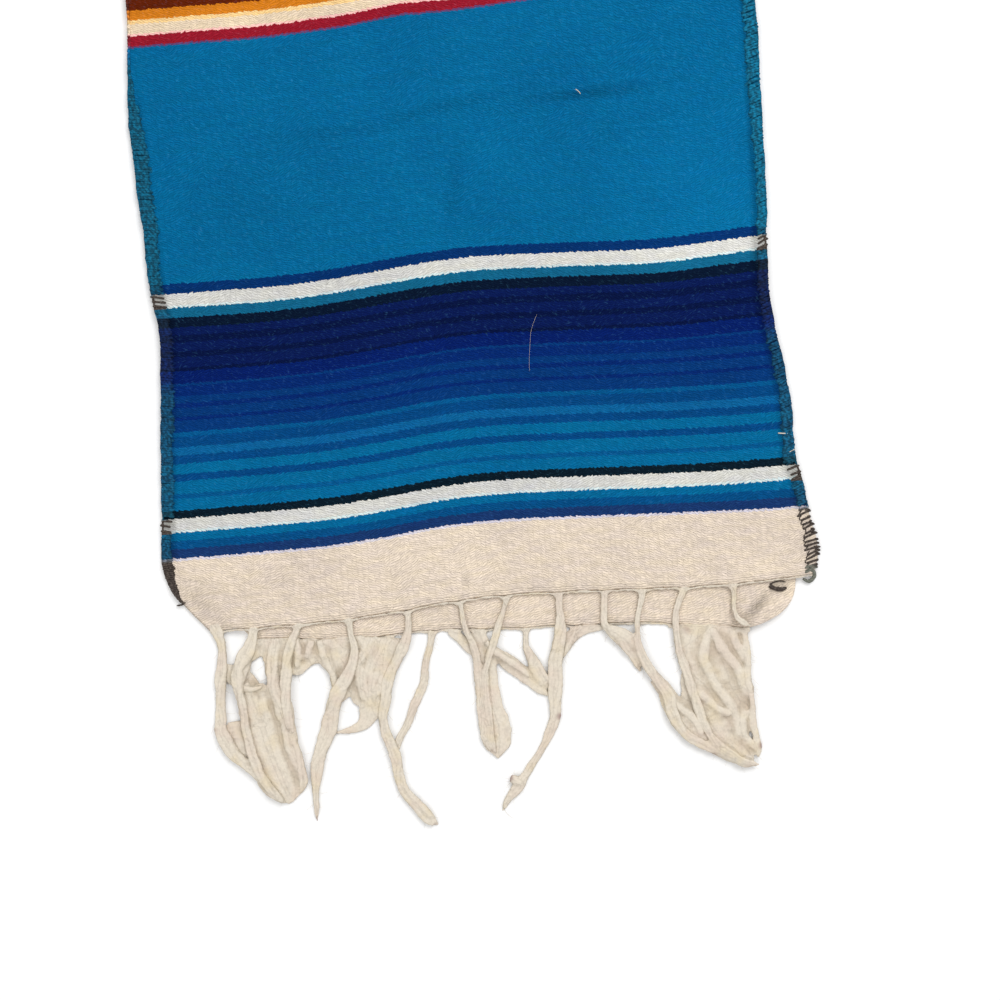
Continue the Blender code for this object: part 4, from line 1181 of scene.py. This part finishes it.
def add_stains(mesh):
    """Marks the few dirty tips and knobs, from 0 to 1."""
    points = point_vectors(mesh.vertices, "co")
    dirt = np.zeros(len(points))
    for stain in STAINS_MM:
        far = np.hypot(points[:, 0] - stain.across * MM,
                       points[:, 1] - UPPER_END_Y + stain.drop * MM)
        dirt = np.maximum(dirt, stain.depth * (1.0 - smooth(far / (stain.radius * MM))))
    add_mark(mesh, "dirt", dirt)


COTTON = dyed(223, 213, 197)
COTTON_WARM = dyed(223, 208, 180)
COTTON_PINK = dyed(219, 203, 188)
COTTON_GREY = dyed(184, 175, 162)
# Painted shade: on the locks' upright flanks, and in the hollows among them.
COTTON_FLANK_SHADE = dyed(166, 158, 138)
COTTON_HOLLOW_SHADE = dyed(176, 160, 138)
FLANK = (0.30, 0.93)        # how upright a face is where its painted shade stops
DIRT = dyed(124, 82, 84)
WARM_SHARE = 0.7
PINK_SHARE = 0.7
GREY_SHARE = 0.30
HOLLOW_SHADE_SHARE = 0.50
FLANK_SHADE_SHARE = 0.45
FLUFF_DEPTH = 0.00034


def matted_cotton():
    """Soft cotton whose fibres run along the yarns, with painted shade in its hollows and on its
    upright flanks.
    """
    finish = Finish("matted_cotton")
    across, along = finish.yarn_place("yarn")
    spot_x, spot_y = finish.spot()
    fibre = finish.noise(across * 2400.0, along * 170.0, 1.0, 3.0)
    lumps = finish.noise(spot_x, spot_y, 260.0, 3.0)
    cloud = finish.noise(spot_x, spot_y, 75.0, 2.0)
    blush = finish.noise(spot_y, spot_x, 60.0, 2.0)
    fluff = finish.noise(spot_x, spot_y, 760.0, 2.0)
    dirt = finish.mark("dirt")
    colour = finish.mix(finish.ramp(cloud, 0.46, 0.74) * WARM_SHARE, COTTON, COTTON_WARM)
    colour = finish.mix(finish.ramp(blush, 0.42, 0.70) * PINK_SHARE, colour, COTTON_PINK)
    colour = finish.mix(finish.ramp(0.0 - lumps, -0.50, -0.20) * GREY_SHARE, colour, COTTON_GREY)
    # Painted shade in the hollows among the locks.
    colour = finish.mix(finish.mark("hollow") * HOLLOW_SHADE_SHARE, colour, COTTON_HOLLOW_SHADE)
    # Painted shade on faces that turn away from the light above, by how upright they are.
    facing = finish.node("NewGeometry", {}, {}, out="Normal")
    upright = finish.node("SeparateXYZ", {}, {"Vector": facing}, out="Z")
    colour = finish.mix((1.0 - finish.ramp(upright, *FLANK)) * FLANK_SHADE_SHARE, colour, COTTON_FLANK_SHADE)
    colour = finish.mix(dirt * finish.ramp(lumps + dirt * 0.5, 0.35, 0.75), colour, DIRT)
    level = 1.0 + (fibre - 0.5) * 0.13 + (fluff - 0.5) * 0.20
    colour = finish.tone(colour, level, level, level)
    height = fibre * 0.6 + fluff * 0.7 + lumps * 0.4
    return finish.surface(colour, 0.96 - fibre * 0.10, height, FLUFF_DEPTH, 0.05)


def make_fringe(name, node, bands, roots_mm, edge_points, thick_from, bed, header, finish):
    yarns = []
    for band in bands:
        lay_band(band, bed, header, yarns)
    all_yarns = header_yarns(edge_points, roots_mm, thick_from) + yarns + web_yarns(yarns)
    mesh = matted(name, all_yarns)
    place = yarn_places(mesh, all_yarns)
    add_stains(mesh)
    add_hollow_shade(mesh)
    add_uv(mesh, "yarn", place)
    return add_piece(name, mesh, finish, "warp_yarn", node), yarns


def lower_header(x):
    y = float(lower_end(x))
    return y, float(corner_lift(x, y)) + WALL / 2


def upper_header(x):
    y = upper_line(np.array(x), np.array(0.0))
    return float(y), float(upper_top(np.array(x), y, np.array(0.0))) - WALL / 2


across_end = np.linspace(0.0, 1.0, 200)
lower_edge = lower_face(np.zeros(200), across_end) + (0.0, 0.0, WALL / 2)
upper_edge = upper_face(np.zeros(200), across_end) - (0.0, 0.0, WALL / 2)
cotton = matted_cotton()
fringe_lower, lower_yarns = make_fringe("fringe_lower_matted", "fringe_lower", LOWER_BANDS_MM,
                                        LOWER_ROOTS_MM, lower_edge, HEADER_SWELL_FROM, lower_bed,
                                        lower_header, cotton)
fringe_upper, upper_yarns = make_fringe("fringe_upper_matted", "fringe_upper", UPPER_BANDS_MM,
                                        UPPER_ROOTS_MM, upper_edge, NO_SWELL, upper_bed,
                                        upper_header, cotton)

# ---- The stray fibres ----
# Loose ends of cotton that have worked out of the locks and stand a little off them.

STRAYS = 900
STRAY_RADIUS = 0.00007
STRAY_LENGTH = (0.003, 0.010)
STRAY_TURN = (0.15, 0.9)    # how far a fibre leaves its yarn's direction, and bends after that
STRAY_BEND = 1.4
STRAY_POINTS = 6
STRAY_STAND = (-0.4, 0.9)   # where it leaves its yarn, in radii off the middle
STRAY_YARN = 0.0008         # of a yarn no thicker than this
STRAY_RISE = (-0.002, 0.001)
HAIR_STEP = 0.0008
Hair = namedtuple("Hair", "radius places_mm")
HAIRS = (                   # a loose hair and lint on the cloth: X, and the drop
    Hair(0.00005, ((38.9, -150.7), (36.8, -146.6), (34.8, -141.4), (33.9, -136.0),
                   (33.0, -130.0), (32.4, -125.0), (32.1, -120.7))),
    Hair(0.00034, ((162.0, -74.9), (164.4, -74.5), (167.2, -74.2))),
    Hair(0.00034, ((166.8, -63.6), (168.2, -64.7), (170.2, -65.5))),
    Hair(0.00020, ((71.2, -270.8), (72.2, -270.0), (73.1, -269.0), (73.6, -267.9))),
)


def make_strays(yarns):
    strays = Strands()
    for _ in range(STRAYS):
        centres, radii, _ = yarns[rng.integers(len(yarns))]
        at = rng.integers(1, len(centres) - 1)
        ahead = centres[at + 1] - centres[at - 1]
        heading = math.atan2(ahead[1], ahead[0]) + rng.choice([-1, 1]) * rng.uniform(*STRAY_TURN)
        length = rng.uniform(*STRAY_LENGTH)
        share = np.linspace(0.0, 1.0, STRAY_POINTS)
        bend = heading + share * rng.uniform(-STRAY_BEND, STRAY_BEND)
        step = length / (STRAY_POINTS - 1)
        x = centres[at, 0] + np.concatenate([[0.0], np.cumsum(np.cos(bend[1:]) * step)])
        y = centres[at, 1] + np.concatenate([[0.0], np.cumsum(np.sin(bend[1:]) * step)])
        top = centres[at, 2] + min(radii[at], STRAY_YARN) * rng.uniform(*STRAY_STAND)
        z = np.maximum(top + share * rng.uniform(*STRAY_RISE), SKIN_CLEAR)
        strays.add(np.stack([x, y, z], -1), STRAY_RADIUS * (1.2 - 0.8 * share), 3)
    for hair in HAIRS:
        places = np.array(hair.places_mm) * (MM, -MM) + (0.0, UPPER_END_Y)
        _, path = along_curve(places, HAIR_STEP)
        top = upper_top(path[:, 0], path[:, 1], path[:, 1] - UPPER_END_Y) + hair.radius
        strays.add(np.column_stack([path, top]), np.full(len(path), hair.radius), 5)
    mesh = strays.mesh("stray_fibres")
    for name in ("dirt", "hollow"):
        add_mark(mesh, name, np.zeros(len(mesh.vertices)))
    add_uv(mesh, "yarn", strays.place())
    return mesh


strays = add_piece("stray_fibres", make_strays(lower_yarns + upper_yarns), cotton, "warp_yarn")

# ---- The overlocked edges ----
# Both side edges are cut, and bound with a dark serging thread: slanting bars of the looper
# thread over the rim, so close along the blues that they mat into one band. By the right
# cream end they stand open. The thread has taken up lint of the wool's own colours.

# cord_start is where the rim's chain starts, and depth is the seam's reach in from the rim.
Seam = namedtuple("Seam", "name side start cord_start pitch cream_pitch depth slant radius "
                          "cream_radius")
CREAM_END = 0.0390
SEAMS = (
    Seam("overlock_left", "left", 0.0160, 0.0200, 0.00125, 0.00112, 0.0074, 0.0012, 0.00080,
         0.00060),
    Seam("overlock_right", "right", 0.0016, CREAM_END, 0.00125, 0.00270, 0.0072, 0.0021, 0.00080,
         0.00058),
)
# How far each seam reaches in, as a share of its depth
SeamWidth = namedtuple("SeamWidth", "from_end left right")
SEAM_WIDTHS = [SeamWidth(*row) for row in (
    (0, 0.1, 0.84), (0.012, 0.14, 1), (0.017, 0.16, 1), (0.022, 0.42, 0.98), (0.027, 0.62, 0.94),
    (0.036, 0.76, 0.9), (0.052, 0.78, 0.92), (0.075, 0.98, 0.96), (0.18, 0.92, 0.76),
    (0.205, 1.04, 0.74), (0.228, 1.16, 0.8), (0.258, 1.2, 0.96), (0.275, 1.04, 1.08),
    (0.286, 0.74, 1.08), (0.297, 0.4, 1.04), (0.308, 0.12, 0.98), (0.32, 0.06, 0.96),
    (0.42, 0.1, 0.9), (0.52, 0.8, 0.9),
)]
BAR_FLATNESS = 0.5
RIM_TUCK = 0.0012           # how far round the rim a bar's outer end goes
WHITE_RUNS = ((0.0533, 0.0610), (0.1747, 0.1825))    # white stripes, where the bars stand open
WHITE_PITCH = 0.0026
RIM_CORD = 0.00075          # the looper's chain, which closes the bars' outer ends
RIM_CORD_STEP = 0.003
RIM_CORD_SUNK = 0.0004      # in from the rim, and below the outer face
RIM_CORD_SWAY = ((0.030, 0.011), 0.0003)
RIM_PITCH = 0.0032          # round the lower layer, where only the rim's loops show
RIM_OVERLAP = 0.8
RIM_THREAD = 0.00045
# A loop's places: a share of its length, in from the rim, and up off the floor
RIM_LOOP = ((0.0, 0.0006, 0.0017), (0.2, -0.0002, 0.0015), (0.45, -0.0005, 0.0010),
            (0.7, -0.0002, 0.0006), (0.9, 0.0005, 0.0005))
BARS_END = 0.004            # how far past the upper layer's last row the bars run
LOOPS_START = 0.010         # and where the loops take over
HIDDEN_RIM = 0.045          # the lower layer's last stretch, where its stitches have come out
THREAD_SIDES = 6
THREAD_STEP = 0.0009
THREAD_WAVE = ((7.0, 3.0), 0.12)
PLY_DEPTH = 0.00012
THREAD = dyed(66, 58, 54)
THREAD_LIGHT = dyed(138, 128, 118)
THREAD_PALE = dyed(120, 123, 113)
PALE_MIDDLE = (0.1716, -0.2925)     # the loose hook is a paler thread
PALE_REACH = (0.0048, 0.0066)
LINT_BLUE = dyed(12, 78, 100)
LINT_TEAL = dyed(5, 104, 130)
LINT_DARK = dyed(3, 84, 102)        # along the left edge
LINT_TURN = (0.181, 0.188)          # past the blues, the turquoise's lint
LINT_SHARE = 0.93
LINT_START = (CREAM_END - 0.0015, CREAM_END + 0.0015)
LINT_STRIPE = 0.30                  # how much of a stripe's own colour shows in the lint
OWN_LINT = ((0.126, 0.138, 0.172), (0.304, 0.314, 0.428))   # almost all of it: from, full, to
OWN_LINT_SHARE = 0.92


def edge_point(side, along, inset, lift):
    """A point by one side edge: how far along the cloth, in from the rim, and off it."""
    row = float(np.interp(along, cloth_along, np.arange(len(cloth_along))))
    low = min(int(row), len(cloth_along) - 2)
    share = row - low
    face = cloth_outer[low] * (1 - share) + cloth_outer[low + 1] * share
    out = cloth_normals[low] * (1 - share) + cloth_normals[low + 1] * share
    if side == "right":
        face, out = face[::-1], out[::-1]
    reach = np.concatenate([[0.0], np.cumsum(np.linalg.norm(np.diff(face, axis=0), axis=1))])
    point = np.array([np.interp(max(inset, 0.0), reach, face[:, axis]) for axis in range(3)])
    normal = np.array([np.interp(max(inset, 0.0), reach, out[:, axis]) for axis in range(3)])
    inward = face[4] - face[0]
    inward /= np.linalg.norm(inward)
    return point + inward * min(inset, 0.0) + normal * lift


def seam_depth(seam, at):
    return (seam.depth * float(read_table(SEAM_WIDTHS, seam.side, np.array(at)))
            * (1.0 + 0.05 * math.sin(at * 410.0) + 0.04 * math.sin(at * 930.0 + 1.0)))


def follow(side, legs, radius, strands, flatness=1.0):
    """A thread through places by one edge, each how far along, in from the rim, and off."""
    path = [tuple(edge_point(side, at, inset, lift)) for at, inset, lift in legs]
    _, rows = along_curve(path, THREAD_STEP)
    strands.add(rows, radius * (1.0 + wave(np.arange(len(rows)), *THREAD_WAVE)),
                THREAD_SIDES, flatness)


def over_white(at):
    return any(first < at < last for first, last in WHITE_RUNS)


def overlock_stitch(seam, at, strands):
    """A slanting bar from the needle's hole to the rim, and its loop over the rim."""
    open_bars = (seam.side == "right" and at < CREAM_END) or over_white(at)
    matted_bars = at > CREAM_END and not open_bars
    r = seam.radius if matted_bars else seam.cream_radius
    depth = seam_depth(seam, at) * rng.uniform(0.84, 1.08)
    up = seam.slant * rng.uniform(0.6, 1.3)
    out = rng.uniform(0.2, 1.6) * r if open_bars else rng.uniform(0.0, 0.4) * r
    follow(seam.side, [(at - up * 0.06, depth, -0.5 * r), (at + up * 0.06, depth * 0.92, r * 0.3),
                       (at + up * 0.45, depth * 0.55, r * 0.5),
                       (at + up * 0.85, depth * 0.15, r * 0.4),
                       (at + up, -out, -0.4 * r), (at + up * 1.1, -out * 0.6, -RIM_TUCK)],
           r, strands, BAR_FLATNESS if matted_bars else 1.0)
    if open_bars:
        follow(seam.side, [(at + up * 1.05, -out, -0.3 * r), (at + up * 1.3, depth * 0.06, r * 0.4),
                           (at + up * 1.1, depth * rng.uniform(0.15, 0.35), r * 0.5)],
               r * 0.6, strands)


def inner_curl(seam, at, strands):
    """A short curl of the looper's thread that links one bar's inner end to the next."""
    depth = seam_depth(seam, at) * rng.uniform(0.80, 1.0)
    rise = seam.cream_pitch * rng.uniform(0.7, 1.0)
    follow(seam.side, [(at, depth, 0.0002),
                       (at + rise * 0.4, depth * rng.uniform(1.0, 1.12), 0.0005),
                       (at + rise, depth * rng.uniform(0.75, 0.95), 0.0004)],
           seam.cream_radius * 0.5, strands)


def rim_cord(seam, first, last, strands):
    """The chain along the rim, a little in and out."""
    places = np.arange(first, last, RIM_CORD_STEP)
    sway = wave(places, *RIM_CORD_SWAY)
    legs = [(float(at), RIM_CORD_SUNK + float(off), -RIM_CORD_SUNK)
            for at, off in zip(places, sway)]
    follow(seam.side, legs, RIM_CORD, strands)


def rim_loops(seam, first, last, strands):
    """Round the lower layer only the rim's loops show, off the floor."""
    at = first
    while at < last:
        path = [edge_point(seam.side, at + RIM_PITCH * share, inset, -height)
                for share, inset, height in RIM_LOOP]
        strands.add(path, np.full(len(path), RIM_THREAD), THREAD_SIDES)
        at += RIM_PITCH * RIM_OVERLAP


def serging_thread():
    finish = Finish("serging_thread")
    across, along = finish.yarn_place("yarn")
    ply = ((along * 1400.0 + across * 1500.0) * 2.0).math("SINE") * 0.5 + 0.5
    fuzz = finish.noise(across * 2200.0, along * 900.0, 1.0, 2.0)
    spot_x, spot_y = finish.spot()
    mottle = finish.noise(spot_x, spot_y, 520.0, 2.0)
    from_end = finish.mark("from_end")
    teal = finish.mix(spot_x < 0.0, LINT_TEAL, LINT_DARK)
    lint = finish.mix(finish.ramp(from_end, *LINT_TURN), LINT_BLUE, teal)
    own = LINT_STRIPE
    for start, full, last in OWN_LINT:
        own_run = finish.ramp(from_end, start, full) * (from_end < last)
        own = own + own_run * (OWN_LINT_SHARE - LINT_STRIPE)
    lint = finish.mix(own, lint, stripe_colour(finish, from_end))
    level = 0.62 + finish.ramp(mottle, 0.35, 0.68) * 0.8
    lint = finish.tone(lint, level, level, level)
    colour = finish.mix(finish.ramp(fuzz, 0.45, 0.85) * 0.6, THREAD, THREAD_LIGHT)
    far = ((spot_x - PALE_MIDDLE[0]) ** 2.0 + (spot_y - PALE_MIDDLE[1]) ** 2.0) ** 0.5
    colour = finish.mix((1.0 - finish.ramp(far, *PALE_REACH)) * 0.8, colour, THREAD_PALE)
    linted = finish.ramp(from_end, *LINT_START) * LINT_SHARE
    for first, last in WHITE_RUNS:
        linted = linted * (1.0 - (from_end > first) * (from_end < last))
    colour = finish.mix(linted, colour, lint)
    level = 0.85 + ply * 0.3
    colour = finish.tone(colour, level, level, level)
    return finish.surface(colour, 0.9 - ply * 0.1, ply + fuzz, PLY_DEPTH, 0.08)


# Loose ends of thread, through listed places: X, the drop, and the height
LooseEnd = namedtuple("LooseEnd", "side radius places_mm")
LOOSE_ENDS = (
    LooseEnd("right", 0.00105, ((172.4, -2.4, 2.6), (172.8, -0.4, 2.5), (174.4, 1.4, 2.2),
                                (173.9, 4.3, 1.7), (171.1, 5.9, 1.5), (168.2, 4.3, 1.6))),
    LooseEnd("right", 0.00115, ((149.8, 6.2, 2.4), (151.8, 7.7, 2.6), (154.2, 8.6, 2.8),
                                (156.6, 8.8, 2.8), (158.6, 8.2, 2.4))),
    LooseEnd("right", 0.0003, ((150.0, 5.5, 2.3), (153.0, 4.6, 2.5), (156.0, 4.4, 2.5),
                               (158.6, 5.2, 2.4))),
    LooseEnd("left", 0.0005, ((-163.4, -13.6, 3.0), (-165.6, -12.6, 2.2), (-168.4, -12.4, 1.2))),
)
LOOSE_WAVE = ((6.0, 3.0), 0.12)
LOOSE_STEP = 0.0006
LOOSE_SIDES = 8


def loose_end(loose, strands):
    path = [(x * MM, UPPER_END_Y - drop * MM, height * MM) for x, drop, height in loose.places_mm]
    _, rows = along_curve(path, LOOSE_STEP)
    taper = np.sqrt(np.clip(np.linspace(1.0, 0.0, len(rows)) * 3.0 + 0.25, 0.0, 1.0))
    swell = 1.0 + wave(np.arange(len(rows)), *LOOSE_WAVE)
    strands.add(rows, loose.radius * taper * swell, LOOSE_SIDES)


def make_seam(seam):
    strands = Strands()
    last = UPPER_RUN + BARS_END
    at = seam.start
    while at < last:
        pitch = seam.cream_pitch if at < CREAM_END else WHITE_PITCH if over_white(at) else seam.pitch
        overlock_stitch(seam, at, strands)
        if at < CREAM_END and seam.side == "right":
            inner_curl(seam, at, strands)
        at += pitch * rng.uniform(0.85, 1.15)
    rim_cord(seam, seam.cord_start, last, strands)
    rim_loops(seam, UPPER_RUN + LOOPS_START, CUT_LENGTH - HIDDEN_RIM, strands)
    for loose in LOOSE_ENDS:
        if loose.side == seam.side:
            loose_end(loose, strands)
    mesh = strands.mesh(seam.name)
    add_uv(mesh, "yarn", strands.place())
    x, y, _ = point_vectors(mesh.vertices, "co").T
    from_end = y - UPPER_END_Y
    add_mark(mesh, "from_end", from_end + y - upper_line(x, from_end))
    return mesh


thread = serging_thread()
seams = [add_piece(seam.name, make_seam(seam), thread, "overlock_thread") for seam in SEAMS]

# ---- The floor and the light ----
# A plain white table under two broad soft lamps and an even white room.

FLOOR_SIZE = 6.0
FLOOR_WHITE = (0.98, 0.98, 0.98, 1.0)
ROOM_WHITE = (1.0, 1.0, 1.0, 1.0)
ROOM_LIGHT = 0.62
floor_mesh = bpy.data.meshes.new("floor")
half = FLOOR_SIZE / 2
floor_mesh.from_pydata([(-half, -half, 0), (half, -half, 0), (half, half, 0), (-half, half, 0)],
                       [], [(0, 1, 2, 3)])
floor = bpy.data.objects.new("floor", floor_mesh)
floor_finish = Finish("floor_white")
for socket, value in (("Base Color", FLOOR_WHITE), ("Roughness", 0.95),
                      ("Specular IOR Level", 0.1)):
    floor_finish.shader.inputs[socket].default_value = value
floor_mesh.materials.append(floor_finish.material)
add_to_scene(floor)

Lamp = namedtuple("Lamp", "name place size power")
LAMPS = (
    Lamp("lamp_key", (0.8, 0.9, 1.6), 1.2, 24.0),
    Lamp("lamp_fill", (-1.1, -0.9, 1.7), 1.6, 11.0),
)
for lamp in LAMPS:
    light = bpy.data.lights.new(lamp.name, "AREA")
    light.size = lamp.size
    light.energy = lamp.power
    holder = bpy.data.objects.new(lamp.name, light)
    holder.location = lamp.place
    aim = VIEW_MIDDLE - Vector(lamp.place)
    holder.rotation_euler = aim.to_track_quat("-Z", "Y").to_euler()
    add_to_scene(holder)
world = bpy.data.worlds.new("white_room")
world.use_nodes = True
room = world.node_tree.nodes["Background"]
room.inputs["Color"].default_value = ROOM_WHITE
room.inputs["Strength"].default_value = ROOM_LIGHT
bpy.context.scene.world = world
bpy.context.scene.view_settings.view_transform = "Standard"
